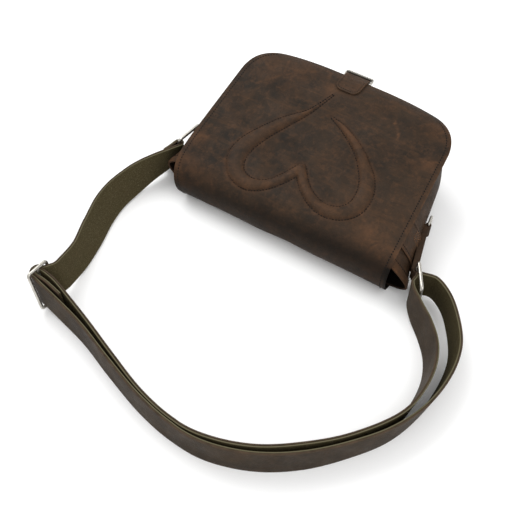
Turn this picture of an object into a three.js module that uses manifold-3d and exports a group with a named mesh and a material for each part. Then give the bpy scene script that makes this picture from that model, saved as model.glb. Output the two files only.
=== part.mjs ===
// A small leather shoulder bag, lying on its back with the flap up and its strap laid out in front of it.
// Millimetres. X runs across the bag, +Y from its mouth to its bottom, +Z up from the floor.
// The origin is on the floor, under the middle of the back panel.
import * as THREE from "three";
import { mergeVertices } from "three/addons/utils/BufferGeometryUtils.js";
import Module from "manifold-3d";

const wasm = await Module();
wasm.setup();
const { degToRad, lerp, clamp } = THREE.MathUtils;

// Leather and seams
const LEATHER = 2.2;
const THIN_LEATHER = 1.6;
const SEAM_GAP = 0.3;

// The one sheet that is back, fold and flap, seen from the side
const BACK_END_Y = 85.5;
const BACK_CORNER = 47.5;
const FOLD = { y: -63, radius: 28 };
const FLAP_RISE = degToRad(11.3);
const DROOP = { startY: 60, radius: 60, turn: degToRad(31.3) };
const FLAP_CORNER = 46;
const BACK_HALF_WIDTH = 114.5;
const FOLD_HALF_WIDTH = 125;
const FLAP_END_HALF_WIDTH = 119;
const CROWN = 4;
const FLAP_SKEW = 0.018;
const LEFT_PINCH = { depth: 11, at: 0.25, towardsBack: 20, towardsFlap: 45 };

// The pouch under the flap
const POUCH = { mouthY: -63, endY: 84, mouthHalf: 121, endHalf: 113, corner: 46 };
const FLAP_CLEARANCE = 3.4;
const FRONT_MOUTH_Y = -66;
const BULGE = [
  { y: -72, out: 22.5 },
  { y: -43, out: 13.5 },
  { y: -20, out: 11.5 },
  { y: 25, out: 7.6 },
  { y: 56, out: 4.2 },
  { y: 76, out: 2 },
];
const BELLY = 0.85;
// The gusset's open ends: how far they reach past the seam, and how high and how wide their belly is
const MOUTH_ZONE = 40;
const RIGHT_MOUTH = { reach: 15, belly: 0.5, out: 22.5 };
const LEFT_MOUTH = { reach: 11, belly: 1.4, out: 16.5 };

// The raised heart line on the flap: its middle line and half its width, from one tip round to the other
const HEART_HEIGHT = 2;
const HEART_LEFT = [
  { x: -14, y: 58, half: 0.6 },
  { x: -27, y: 29, half: 2.5 },
  { x: -42, y: 9, half: 6 },
  { x: -57, y: -15, half: 8 },
  { x: -65.5, y: -34, half: 9.5 },
  { x: -66, y: -51, half: 9.5 },
  { x: -58, y: -65, half: 8.2 },
  { x: -44, y: -70.5, half: 7 },
  { x: -31, y: -68.5, half: 6 },
  { x: -20, y: -61.5, half: 5.2 },
  { x: -10, y: -49, half: 5.2 },
  { x: -1, y: -33, half: 5.2 },
];
const HEART_RIGHT = [
  { x: -1, y: -33, half: 5.2 },
  { x: 9, y: -46, half: 5.2 },
  { x: 21, y: -56, half: 5.5 },
  { x: 35, y: -62, half: 6 },
  { x: 47, y: -62.5, half: 6.6 },
  { x: 58, y: -58.5, half: 7.3 },
  { x: 66, y: -50, half: 8 },
  { x: 69, y: -40, half: 8.2 },
  { x: 68, y: -27, half: 8.2 },
  { x: 62.5, y: -14, half: 7.4 },
  { x: 54, y: -3.5, half: 6 },
  { x: 43, y: 8, half: 5 },
  { x: 27, y: 19.5, half: 4 },
  { x: 12, y: 28, half: 3 },
  { x: -5, y: 34, half: 0.6 },
];

// The closure in the middle of the flap's end
const CLOSURE_X = -5;
const CHAPE = { half: 13.5, corner: 8, thick: 2, onFlap: 27, underFlap: 20 };
const BUCKLE = { wire: 1.4, reach: 6.8, corner: 1.5 };
const PLATE = { depth: 5.2, thick: 2.4, tilt: degToRad(30) };
const CLOSURE_STRAP = { half: 11, thick: 2 };

// The ring keepers on the gusset's sides
const APEX_Z = 23;
const PATCH = { width: 24, low: 0.26, high: 0.97, over: 0.5 };
const KEEPER = { height: 16, leather: 1.5, inwards: 0.5 };
const STRAP_EYE = {
  right: { y: -64, over: 0.3 },
  left: { y: -21, over: 1.6 },
};
const SIDE_EYE_Y = { right: -8, left: 19 };
const PATCH_Y = { right: -50, left: -23 };
const RING_TILT = { right: 0, left: degToRad(15) };
const STRAP_RING = { wire: 1.8, halfHeight: 21, corner: 2.5 };
const SIDE_RING = { wire: 1.3, half: 10, shoulder: 5, corner: 2.5, heading: degToRad(98) };
const RIGHT_RING_BAR = new THREE.Vector2(159.8, -88.5);
const RIGHT_BIGHT = new THREE.Vector2(152.3, -73.1);
const LEFT_RING_BAR = new THREE.Vector2(-142.5, -48.5);

// The strap: a leather ply outside and a webbing ply inside, standing on their edges
const STRAP = { width: 35, leather: 1.4, webbing: 1.2, webbingInset: 0.3, step: 13 };
const SLIDER = { x: -150, y: -260.5, middleZ: 23.6, pitch: 11.8, wire: 1.7, halfHeight: 21, corner: 2.5 };
const SLIDER_LEAN = { leanX: -0.3, leanY: 0.15 };
const RING_LIFT = 5;
const SLIDER_LIFT = 6.7;

const BROWN = { color: 0x4a362b, roughness: 0.62, metalness: 0 };
const OLIVE = { color: 0x47402a, roughness: 0.95, metalness: 0 };
const NICKEL = { color: 0xbdb9b0, roughness: 0.32, metalness: 1 };

// A solid wall between an outer and an inner grid of points that match row by row.
function wallGeometry(outer, inner) {
  const rows = outer.length;
  const columns = outer[0].length;
  const points = [...outer.flat(), ...inner.flat()];
  const at = (side, row, column) => side * rows * columns + row * columns + column;
  const index = [];
  const quad = (a, b, c, d) => index.push(a, b, c, a, c, d);
  for (let r = 0; r + 1 < rows; r++) {
    for (let c = 0; c + 1 < columns; c++) {
      quad(at(0, r, c), at(0, r, c + 1), at(0, r + 1, c + 1), at(0, r + 1, c));
      quad(at(1, r, c), at(1, r + 1, c), at(1, r + 1, c + 1), at(1, r, c + 1));
    }
    quad(at(0, r, 0), at(0, r + 1, 0), at(1, r + 1, 0), at(1, r, 0));
    const last = columns - 1;
    quad(at(0, r, last), at(1, r, last), at(1, r + 1, last), at(0, r + 1, last));
  }
  for (let c = 0; c + 1 < columns; c++) {
    quad(at(0, 0, c), at(1, 0, c), at(1, 0, c + 1), at(0, 0, c + 1));
    const last = rows - 1;
    quad(at(0, last, c), at(0, last, c + 1), at(1, last, c + 1), at(1, last, c));
  }
  return facingOut(new THREE.BufferGeometry().setFromPoints(points).setIndex(index));
}

// Turns a closed mesh's faces outwards if they point in.
function facingOut(geometry) {
  const position = geometry.getAttribute("position");
  const corner = [0, 1, 2].map(() => new THREE.Vector3());
  const order = geometry.index.array;
  let volume = 0;
  for (let i = 0; i < order.length; i += 3) {
    corner.forEach((v, k) => v.fromBufferAttribute(position, order[i + k]));
    volume += corner[0].dot(corner[1].clone().cross(corner[2]));
  }
  if (volume < 0) {
    for (let i = 0; i < order.length; i += 3) {
      [order[i + 1], order[i + 2]] = [order[i + 2], order[i + 1]];
    }
  }
  return geometry;
}

// A round wire that follows a flat closed path in its own XZ plane, mitred at each corner of the path.
function wireGeometry(path, radius, sides = 8) {
  const points = path.getPoints(2);
  if (points[0].distanceTo(points.at(-1)) < 1e-6) points.pop();
  const loop = points.filter((p, i) => p.distanceTo(points.at(i - 1)) > 1e-6);
  const vertices = [];
  const index = [];
  loop.forEach((p, i) => {
    const before = p.clone().sub(loop.at(i - 1)).normalize();
    const after = loop[(i + 1) % loop.length].clone().sub(p).normalize();
    const along = before.clone().add(after).normalize();
    const stretch = 1 / along.dot(after);
    for (let k = 0; k < sides; k++) {
      const angle = ((k + 0.5) * 2 * Math.PI) / sides;
      const across = radius * Math.cos(angle) * stretch;
      vertices.push(
        new THREE.Vector3(p.x - along.y * across, radius * Math.sin(angle), p.y + along.x * across),
      );
      const next = ((i + 1) % loop.length) * sides;
      const a = i * sides + k;
      const b = i * sides + ((k + 1) % sides);
      const c = next + ((k + 1) % sides);
      const d = next + k;
      index.push(a, b, c, a, c, d);
    }
  });
  return facingOut(new THREE.BufferGeometry().setFromPoints(vertices).setIndex(index));
}

// A closed path: a rectangle of centre lines with rounded corners, from x = 0 to x = width.
function roundedLoop(width, halfHeight, corner) {
  const path = new THREE.Path();
  const inner = halfHeight - corner;
  path.moveTo(0, -inner);
  path.lineTo(0, inner);
  path.absarc(corner, inner, corner, Math.PI, Math.PI / 2, true);
  path.absarc(width - corner, inner, corner, Math.PI / 2, 0, true);
  path.absarc(width - corner, -inner, corner, 0, -Math.PI / 2, true);
  path.absarc(corner, -inner, corner, -Math.PI / 2, -Math.PI, true);
  return path;
}

// A closed path: a straight bar at x = 0 with a round bow on its far side.
function bowLoop({ half, shoulder, corner }) {
  const path = new THREE.Path();
  path.moveTo(0, corner - half);
  path.lineTo(0, half - corner);
  path.absarc(corner, half - corner, corner, Math.PI, Math.PI / 2, true);
  path.absarc(shoulder, 0, half, Math.PI / 2, -Math.PI / 2, true);
  path.absarc(corner, corner - half, corner, -Math.PI / 2, -Math.PI, true);
  return path;
}

// Boolean joins and cuts between closed meshes.
function solidOf(geometry) {
  const bare = new THREE.BufferGeometry().setAttribute("position", geometry.getAttribute("position"));
  if (geometry.index) bare.setIndex(geometry.index);
  const merged = mergeVertices(bare, 1e-4);
  return new wasm.Manifold(
    new wasm.Mesh({
      numProp: 3,
      vertProperties: merged.getAttribute("position").array,
      triVerts: new Uint32Array(merged.index.array),
    }),
  );
}

function geometryOf(solid) {
  const mesh = solid.getMesh();
  return new THREE.BufferGeometry()
    .setAttribute("position", new THREE.BufferAttribute(mesh.vertProperties, 3))
    .setIndex(new THREE.BufferAttribute(mesh.triVerts, 1));
}

function piece(name, geometry, finish) {
  geometry.computeVertexNormals();
  const mesh = new THREE.Mesh(geometry, new THREE.MeshStandardMaterial(finish));
  mesh.name = name;
  return mesh;
}

// The sheet's side view as stretches, each with a length and a turn, walked from the back's bottom edge.
const BACK_LENGTH = BACK_END_Y - FOLD.y;
const FOLD_TURN = Math.PI - FLAP_RISE;
const FOLD_LENGTH = FOLD.radius * FOLD_TURN;
const FLAP_START_Y = FOLD.y - FOLD.radius * Math.sin(FLAP_RISE);
const FLAP_START_Z = FOLD.radius * (1 + Math.cos(FLAP_RISE));
const FLAP_LENGTH = (DROOP.startY - FLAP_START_Y) / Math.cos(FLAP_RISE);
const STRETCHES = [
  { length: BACK_LENGTH, turn: 0 },
  { length: FOLD_LENGTH, turn: -FOLD_TURN },
  { length: FLAP_LENGTH, turn: 0 },
  { length: DROOP.radius * DROOP.turn, turn: -DROOP.turn },
];
const SHEET_LENGTH = STRETCHES.reduce((sum, s) => sum + s.length, 0);
const FOLD_END = BACK_LENGTH + FOLD_LENGTH;

// The point, heading and outward normal of the sheet's outside at a distance along it.
function walk(distance) {
  let y = BACK_END_Y;
  let z = 0;
  let heading = Math.PI;
  let left = distance;
  for (const { length, turn } of STRETCHES) {
    const go = Math.min(left, length);
    const bend = turn / length;
    if (bend === 0) {
      y += go * Math.cos(heading);
      z += go * Math.sin(heading);
    } else {
      const end = heading + bend * go;
      y += (Math.sin(end) - Math.sin(heading)) / bend;
      z += (Math.cos(heading) - Math.cos(end)) / bend;
      heading = end;
    }
    left -= go;
    if (left <= 0) break;
  }
  return { y, z, heading, normalY: -Math.sin(heading), normalZ: Math.cos(heading) };
}

// How far the leather drops towards the bag's sides.
function crown(share) {
  return CROWN * share ** 4;
}

// How much a round corner takes off the half width, at a distance from the sheet's end.
function cornerCut(fromEnd, radius) {
  const inside = clamp(radius - fromEnd, 0, radius);
  return radius - Math.sqrt(radius ** 2 - inside ** 2);
}

function sheetHalfWidth(distance) {
  const fromFlapEnd = SHEET_LENGTH - distance;
  if (distance < BACK_LENGTH) {
    const half = lerp(BACK_HALF_WIDTH, FOLD_HALF_WIDTH, distance / BACK_LENGTH);
    return half - cornerCut(distance, BACK_CORNER);
  }
  const alongFlap = clamp((distance - FOLD_END) / (SHEET_LENGTH - FOLD_END), 0, 1);
  const half = lerp(FOLD_HALF_WIDTH, FLAP_END_HALF_WIDTH, alongFlap);
  return half - cornerCut(fromFlapEnd, FLAP_CORNER);
}

// How much narrower the left half is where the fold has drawn in.
function leftPinch(distance) {
  const off = distance - BACK_LENGTH - LEFT_PINCH.at * FOLD_LENGTH;
  const spread = off < 0 ? LEFT_PINCH.towardsBack : LEFT_PINCH.towardsFlap;
  return LEFT_PINCH.depth * Math.exp(-((off / spread) ** 2));
}

// A point on the sheet: a distance along it, a share of its half width and a height over its outside.
function onSheet(distance, share, over) {
  const { y, z, normalY, normalZ } = walk(distance);
  const rounded = clamp((distance - BACK_LENGTH) / FOLD_LENGTH, 0, 1);
  const alongFlap = clamp((distance - FOLD_END) / (SHEET_LENGTH - FOLD_END), 0, 1);
  const x = share * (sheetHalfWidth(distance) - (share < 0 ? leftPinch(distance) : 0));
  const skew = -FLAP_SKEW * x * alongFlap;
  return new THREE.Vector3(x, y + normalY * over + skew, z + normalZ * over - crown(share) * rounded);
}

// Distances along the sheet: close together round its corners and in the fold.
function sheetRows() {
  const rounds = 6;
  const rows = [];
  for (let k = 0; k <= rounds; k++) rows.push(BACK_CORNER * (1 - Math.cos((k * Math.PI) / 2 / rounds)));
  rows.push((BACK_CORNER + BACK_LENGTH) / 2);
  const foldSteps = 12;
  for (let k = 0; k <= foldSteps; k++) rows.push(BACK_LENGTH + (FOLD_LENGTH * k) / foldSteps);
  const flapSteps = 5;
  const cornerStart = SHEET_LENGTH - FLAP_CORNER;
  for (let k = 1; k < flapSteps; k++) rows.push(lerp(FOLD_END, cornerStart, k / flapSteps));
  for (let k = rounds; k >= 0; k--) {
    rows.push(SHEET_LENGTH - FLAP_CORNER * (1 - Math.cos((k * Math.PI) / 2 / rounds)));
  }
  return rows;
}

function sheetGrid(over) {
  const columns = 16;
  return sheetRows().map((distance) => {
    const row = [];
    for (let c = 0; c <= columns; c++) row.push(onSheet(distance, (2 * c) / columns - 1, over));
    return row;
  });
}

// The flap's outside at a place seen from above.
function onFlap(x, y, over) {
  const low = FOLD_END - FOLD_LENGTH / 4;
  let near = low;
  let far = SHEET_LENGTH;
  for (let k = 0; k < 40; k++) {
    const middle = (near + far) / 2;
    if (walk(middle).y < y) near = middle;
    else far = middle;
  }
  return onSheet(near, x / sheetHalfWidth(near), over);
}

// The corded heart line: a low cushioned band that follows the flap, mitred where its two halves meet.
function heartBand() {
  const profile = [
    { across: -1, up: 0 },
    { across: -0.62, up: 0.72 },
    { across: 0, up: 1 },
    { across: 0.62, up: 0.72 },
    { across: 1, up: 0 },
  ];
  const steps = 2;
  const rows = [];
  for (const table of [HEART_LEFT, HEART_RIGHT]) {
    const line = new THREE.CatmullRomCurve3(table.map((p) => new THREE.Vector3(p.x, p.y, p.half)));
    const last = (table.length - 1) * steps;
    for (let k = 0; k <= last; k++) {
      const p = line.getPoint(k / last);
      const tangent = line.getTangent(k / last).setZ(0).normalize();
      rows.push({ p, side: new THREE.Vector2(-tangent.y, tangent.x) });
    }
  }
  const cleft = (HEART_LEFT.length - 1) * steps;
  const mitre = rows[cleft].side.clone().add(rows[cleft + 1].side).normalize();
  mitre.divideScalar(mitre.dot(rows[cleft].side));
  rows[cleft].side = mitre;
  rows.splice(cleft + 1, 1);
  const grid = (sunk) =>
    rows.map(({ p, side }) =>
      profile.map(({ across, up }) => {
        const over = sunk ? -LEATHER / 2 : up * (HEART_HEIGHT + 0.5) * Math.min(1, p.z / 4) - 0.5;
        const reach = across * p.z;
        return onFlap(p.x + side.x * reach, p.y + side.y * reach, over);
      }),
    );
  return wallGeometry(grid(false), grid(true));
}

function backAndFlap() {
  const sheet = solidOf(wallGeometry(sheetGrid(0), sheetGrid(-LEATHER)));
  return geometryOf(sheet.add(solidOf(heartBand())));
}

// The pouch: its plan outline, its front's height and its side walls' bulge
function pouchHalf(y) {
  const share = (y - POUCH.mouthY) / (POUCH.endY - POUCH.mouthY);
  return lerp(POUCH.mouthHalf, POUCH.endHalf, share);
}

function frontHeight(x, y) {
  const flap = onFlap(0, y, 0).z;
  return flap - LEATHER - FLAP_CLEARANCE - crown(Math.abs(x) / FOLD_HALF_WIDTH);
}

function sag(y) {
  const past = BULGE.findIndex((row) => row.y > y);
  const next = past < 0 ? BULGE.length - 1 : Math.max(past, 1);
  const low = BULGE[next - 1];
  const high = BULGE[next];
  if (y >= high.y) return high.out;
  return lerp(low.out, high.out, clamp((y - low.y) / (high.y - low.y), 0, 1));
}

function frontPanel() {
  const margin = 1.2;
  const corner = POUCH.corner + margin;
  const endY = POUCH.endY + margin;
  const rounds = 6;
  const straight = 6;
  const places = [];
  for (let k = 0; k < straight; k++) places.push(lerp(FRONT_MOUTH_Y, endY - corner, k / straight));
  for (let k = 0; k <= rounds; k++) places.push(endY - corner * (1 - Math.sin((k * Math.PI) / 2 / rounds)));
  const columns = 10;
  const grid = (drop) =>
    places.map((y) => {
      const half = pouchHalf(y) + margin - cornerCut(endY - y, corner);
      const row = [];
      for (let c = 0; c <= columns; c++) {
        const x = half * ((2 * c) / columns - 1);
        row.push(new THREE.Vector3(x, y, frontHeight(x, y) - drop));
      }
      return row;
    });
  return wallGeometry(grid(0), grid(LEATHER));
}

// The height of the sheet's inside on the floor, which turns up into the fold past the mouth.
function backInside(y) {
  const past = Math.max(0, FOLD.y - y);
  return FOLD.radius - Math.sqrt((FOLD.radius - LEATHER) ** 2 - past ** 2);
}

// A point of the gusset over a place on its seam, with the seam's outward direction in plan.
function gussetPoint(seam, out, level, over) {
  const mouth = seam.x < 0 ? LEFT_MOUTH : RIGHT_MOUTH;
  const nearMouth = clamp((POUCH.mouthY + MOUTH_ZONE - seam.y) / MOUTH_ZONE, 0, 1);
  const belly = lerp(BELLY, mouth.belly, nearMouth ** 2);
  const widest = lerp(sag(seam.y), mouth.out, nearMouth ** 6);
  const bulgeAt = (v) => widest * Math.sin(Math.PI * v ** belly);
  const y = seam.y - mouth.reach * nearMouth ** 2;
  const foot = backInside(y) + SEAM_GAP + 0.2 * nearMouth;
  const head = frontHeight(seam.x, y) - LEATHER - SEAM_GAP;
  const rise = (bulgeAt(Math.min(1, level + 0.01)) - bulgeAt(Math.max(0, level - 0.01))) / 0.02;
  const slope = Math.hypot(rise, head - foot);
  const reach = bulgeAt(level) + (over * (head - foot)) / slope;
  const z = clamp(lerp(foot, head, level) - (over * rise) / slope, foot, head);
  return new THREE.Vector3(seam.x + out.x * reach, y + out.y * reach, z);
}

// The gusset's seam in plan: up one side, round the bottom and down the other.
function seamPath() {
  const path = new THREE.Path();
  const straightEnd = POUCH.endY - POUCH.corner;
  const straightHalf = pouchHalf(straightEnd);
  const middle = straightHalf - POUCH.corner;
  path.moveTo(POUCH.mouthHalf, POUCH.mouthY);
  path.lineTo(straightHalf, straightEnd);
  path.absarc(middle, straightEnd, POUCH.corner, 0, Math.PI / 2, false);
  path.absarc(-middle, straightEnd, POUCH.corner, Math.PI / 2, Math.PI, false);
  path.lineTo(-POUCH.mouthHalf, POUCH.mouthY);
  return path;
}

function gusset() {
  const path = seamPath();
  const stations = 44;
  const levels = 8;
  const grid = (over) => {
    const rows = [];
    for (let k = 0; k <= stations; k++) {
      const seam = path.getPointAt(k / stations);
      const along = path.getTangentAt(k / stations);
      const out = new THREE.Vector2(along.y, -along.x);
      const row = [];
      for (let j = 0; j <= levels; j++) row.push(gussetPoint(seam, out, j / levels, over));
      rows.push(row);
    }
    return rows;
  };
  return wallGeometry(grid(0), grid(-LEATHER));
}

// The right side wall, by place along the bag and level up the wall.
function onRightSide(y, level, over) {
  const slope = (POUCH.endHalf - POUCH.mouthHalf) / (POUCH.endY - POUCH.mouthY);
  const out = new THREE.Vector2(1, -slope).normalize();
  return gussetPoint(new THREE.Vector2(pouchHalf(y), y), out, level, over);
}

function sidePatch(fromY) {
  const rows = 4;
  const columns = 7;
  const grid = (over) => {
    const lines = [];
    for (let r = 0; r <= rows; r++) {
      const line = [];
      for (let c = 0; c <= columns; c++) {
        const level = lerp(PATCH.low, PATCH.high, c / columns);
        line.push(onRightSide(fromY + (PATCH.width * r) / rows, level, over));
      }
      lines.push(line);
    }
    return lines;
  };
  return wallGeometry(grid(PATCH.over + THIN_LEATHER), grid(PATCH.over));
}

// The outermost place of the right side wall at a place along the bag, with some height over it.
function sideApex(y, over) {
  const slope = (pouchHalf(y + 1) + sag(y + 1) - pouchHalf(y - 1) - sag(y - 1)) / 2;
  const out = new THREE.Vector2(1, -slope).normalize();
  return new THREE.Vector2(pouchHalf(y) + sag(y) + out.x * over, y + out.y * over);
}

// The eyes at a keeper's two ends, and where they stand off the side wall.
const STRAP_EYE_RADIUS = STRAP_RING.wire + SEAM_GAP;
const SIDE_EYE_RADIUS = SIDE_RING.wire + SEAM_GAP;

function strapEyePlace(side) {
  const leaning = (Math.sin(RING_TILT[side]) * KEEPER.height) / 2;
  const over = STRAP_EYE_RADIUS + KEEPER.leather + STRAP_EYE[side].over + leaning;
  return sideApex(STRAP_EYE[side].y, over);
}

function sideEyePlace(side) {
  const leaning = (Math.sin(RING_TILT[side]) * KEEPER.height) / 2;
  return sideApex(SIDE_EYE_Y[side], SIDE_EYE_RADIUS + KEEPER.leather + SEAM_GAP + leaning);
}

// A folded leather strip with an eye for a ring at each end.
function keeper(length) {
  const upright = (radius, height, x) =>
    solidOf(new THREE.CylinderGeometry(radius, radius, height, 16).rotateX(Math.PI / 2).translate(x, 0, 0));
  const strip = new THREE.BoxGeometry(length, 2 * KEEPER.leather, KEEPER.height);
  strip.translate(length / 2, KEEPER.inwards, 0);
  return geometryOf(
    solidOf(strip)
      .add(upright(STRAP_EYE_RADIUS + KEEPER.leather, KEEPER.height, 0))
      .add(upright(SIDE_EYE_RADIUS + KEEPER.leather, KEEPER.height, length))
      .subtract(upright(STRAP_EYE_RADIUS, 2 * KEEPER.height, 0))
      .subtract(upright(SIDE_EYE_RADIUS, 2 * KEEPER.height, length)),
  );
}

// A ring whose bar stands at one place and whose far bar stands at another, both tilted alike.
function strapRing(name, bar, farBar, tilt) {
  const loop = roundedLoop(bar.distanceTo(farBar), STRAP_RING.halfHeight, STRAP_RING.corner);
  const ring = piece(name, wireGeometry(loop, STRAP_RING.wire).rotateX(-tilt), NICKEL);
  ring.position.set(bar.x, bar.y, APEX_Z);
  ring.rotation.z = Math.atan2(farBar.y - bar.y, farBar.x - bar.x);
  return ring;
}

// The pieces on one side wall, built for the right side.
function sideFittings(side) {
  const eye = strapEyePlace(side);
  const along = sideEyePlace(side).sub(eye);
  const leaning = new THREE.Group();
  leaning.position.set(eye.x, eye.y, APEX_Z);
  leaning.rotation.set(-RING_TILT[side], 0, along.angle(), "ZYX");
  const ring = piece(`side_ring_${side}`, wireGeometry(bowLoop(SIDE_RING), SIDE_RING.wire), NICKEL);
  ring.position.x = along.length();
  ring.rotation.z = SIDE_RING.heading - along.angle();
  leaning.add(piece(`ring_keeper_${side}`, keeper(along.length()), BROWN), ring);
  const group = new THREE.Group();
  group.add(piece(`side_patch_${side}`, sidePatch(PATCH_Y[side]), BROWN), leaning);
  return group;
}

// A flat leather band across X that follows a line in the YZ plane.
function bandGeometry(line, thick) {
  const grid = (over) =>
    line.map(({ y, z, normalY, normalZ, half }) =>
      [-half, half].map((x) => new THREE.Vector3(CLOSURE_X + x, y + normalY * over, z + normalZ * over)),
    );
  return wallGeometry(grid(thick / 2), grid(-thick / 2));
}

const FLAP_END = walk(SHEET_LENGTH);
const BUCKLE_BAR = {
  y: FLAP_END.y + 2.2 * Math.cos(FLAP_END.heading) - (FLAP_END.normalY * LEATHER) / 2,
  z: FLAP_END.z + 2.2 * Math.sin(FLAP_END.heading) - (FLAP_END.normalZ * LEATHER) / 2,
};
const BUCKLE_TURN = BUCKLE.wire + SEAM_GAP + CHAPE.thick / 2;

// Stations round a bar that runs along X, from one angle to another.
function roundBar(bar, radius, from, to, half, steps, facing) {
  const line = [];
  for (let k = 0; k <= steps; k++) {
    const angle = lerp(from, to, k / steps);
    const normalY = Math.cos(angle);
    const normalZ = Math.sin(angle);
    const y = bar.y + radius * normalY;
    const z = bar.z + radius * normalZ;
    line.push({ y, z, normalY: facing * normalY, normalZ: facing * normalZ, half });
  }
  return line;
}

// The leather chape: on the flap, round the buckle's bar and back under the flap.
function chape() {
  const line = [];
  const over = SEAM_GAP + CHAPE.thick / 2;
  const onSide = (fromEnd, lift, half, facing) => {
    const at = walk(SHEET_LENGTH - fromEnd);
    const place = { y: at.y + at.normalY * lift, z: at.z + at.normalZ * lift };
    line.push({ ...place, normalY: facing * at.normalY, normalZ: facing * at.normalZ, half });
  };
  const rounds = 5;
  for (let k = 0; k <= rounds; k++) {
    const inFromTip = CHAPE.corner * (1 - Math.cos((k * Math.PI) / 2 / rounds));
    onSide(CHAPE.onFlap - inFromTip, over, CHAPE.half - cornerCut(inFromTip, CHAPE.corner), 1);
  }
  for (const fromEnd of [14, 9, 4]) onSide(fromEnd, over, CHAPE.half, 1);
  const up = FLAP_END.heading + Math.PI / 2;
  line.push(...roundBar(BUCKLE_BAR, BUCKLE_TURN, up, up - Math.PI, CHAPE.half, 8, 1));
  for (const fromEnd of [4, 12, CHAPE.underFlap]) onSide(fromEnd, -LEATHER - over, CHAPE.half, -1);
  return bandGeometry(line, CHAPE.thick);
}

// The buckle: a bar in the chape's fold, and a tilted plate just past the fold, joined at both ends.
const BUCKLE_PLATE = {
  y: BUCKLE_BAR.y + BUCKLE.reach,
  z: BUCKLE_BAR.z,
  normalY: Math.sin(PLATE.tilt),
  normalZ: Math.cos(PLATE.tilt),
};

function buckle() {
  const halfWidth = CHAPE.half + SEAM_GAP + BUCKLE.wire;
  const frame = wireGeometry(roundedLoop(BUCKLE.reach, halfWidth, BUCKLE.corner), BUCKLE.wire);
  frame.rotateX(Math.PI / 2);
  frame.rotateZ(Math.PI / 2);
  const plate = new THREE.BoxGeometry(2 * halfWidth, PLATE.depth, PLATE.thick);
  plate.rotateX(-PLATE.tilt);
  plate.translate(0, BUCKLE.reach, 0);
  const mesh = piece("closure_buckle", geometryOf(solidOf(frame).add(solidOf(plate))), NICKEL);
  mesh.position.set(CLOSURE_X, BUCKLE_BAR.y, BUCKLE_BAR.z);
  return mesh;
}

// The closure's lower strap: up the bottom of the bag and out to the underside of the buckle's plate.
function closureStrap() {
  const seam = new THREE.Vector2(CLOSURE_X, POUCH.endY);
  const over = SEAM_GAP + CLOSURE_STRAP.thick / 2 + 0.15;
  const wallAt = (level) => gussetPoint(seam, new THREE.Vector2(0, 1), level, over);
  const under = PLATE.thick / 2 + SEAM_GAP;
  const end = new THREE.Vector3(
    CLOSURE_X,
    BUCKLE_PLATE.y - BUCKLE_PLATE.normalY * under,
    BUCKLE_PLATE.z - BUCKLE_PLATE.normalZ * under,
  );
  const below = new THREE.Vector3(CLOSURE_X, end.y - 5, end.z - 9);
  const line = new THREE.CatmullRomCurve3([wallAt(0.1), wallAt(0.3), wallAt(0.5), below, end]);
  const steps = 14;
  const stations = [];
  for (let k = 0; k <= steps; k++) {
    const p = line.getPoint(k / steps);
    const along = line.getTangent(k / steps);
    stations.push({ y: p.y, z: p.z, normalY: along.z, normalZ: -along.y, half: CLOSURE_STRAP.half });
  }
  return bandGeometry(stations, CLOSURE_STRAP.thick);
}

// The strap's route: the foot of its middle line, how far that is off the floor, and how it leans over.
const STRAP_HALF = STRAP.leather + SEAM_GAP / 2;
const RING_TURN = STRAP_RING.wire + SEAM_GAP + STRAP_HALF;
const SLIDER_TURN = SLIDER.wire + SEAM_GAP + STRAP_HALF;
const WRAP_TURN = SLIDER_TURN + 2 * STRAP_HALF + SEAM_GAP;

// Route points on an arc, every so many degrees from one bearing to another.
function arcRoute(centre, radius, from, to, count, z, lean = { leanX: 0, leanY: 0 }) {
  const points = [];
  for (let k = 0; k <= count; k++) {
    const bearing = degToRad(lerp(from, to, k / count));
    const x = centre.x + radius * Math.cos(bearing);
    const y = centre.y + radius * Math.sin(bearing);
    points.push({ x, y, z, ...lean });
  }
  return points;
}

// The left ring's bars lean towards the bag, and the strap leans with them.
const LEFT_EYE = strapEyePlace("left").multiply(new THREE.Vector2(-1, 1));
const LEFT_ACROSS = LEFT_EYE.clone().sub(LEFT_RING_BAR).normalize();
const LEFT_LEAN = {
  leanX: LEFT_ACROSS.y * Math.tan(RING_TILT.left),
  leanY: -LEFT_ACROSS.x * Math.tan(RING_TILT.left),
};
const LEFT_RING_FOOT = new THREE.Vector2(
  LEFT_RING_BAR.x - LEFT_LEAN.leanX * (APEX_Z - RING_LIFT),
  LEFT_RING_BAR.y - LEFT_LEAN.leanY * (APEX_Z - RING_LIFT),
);

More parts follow.
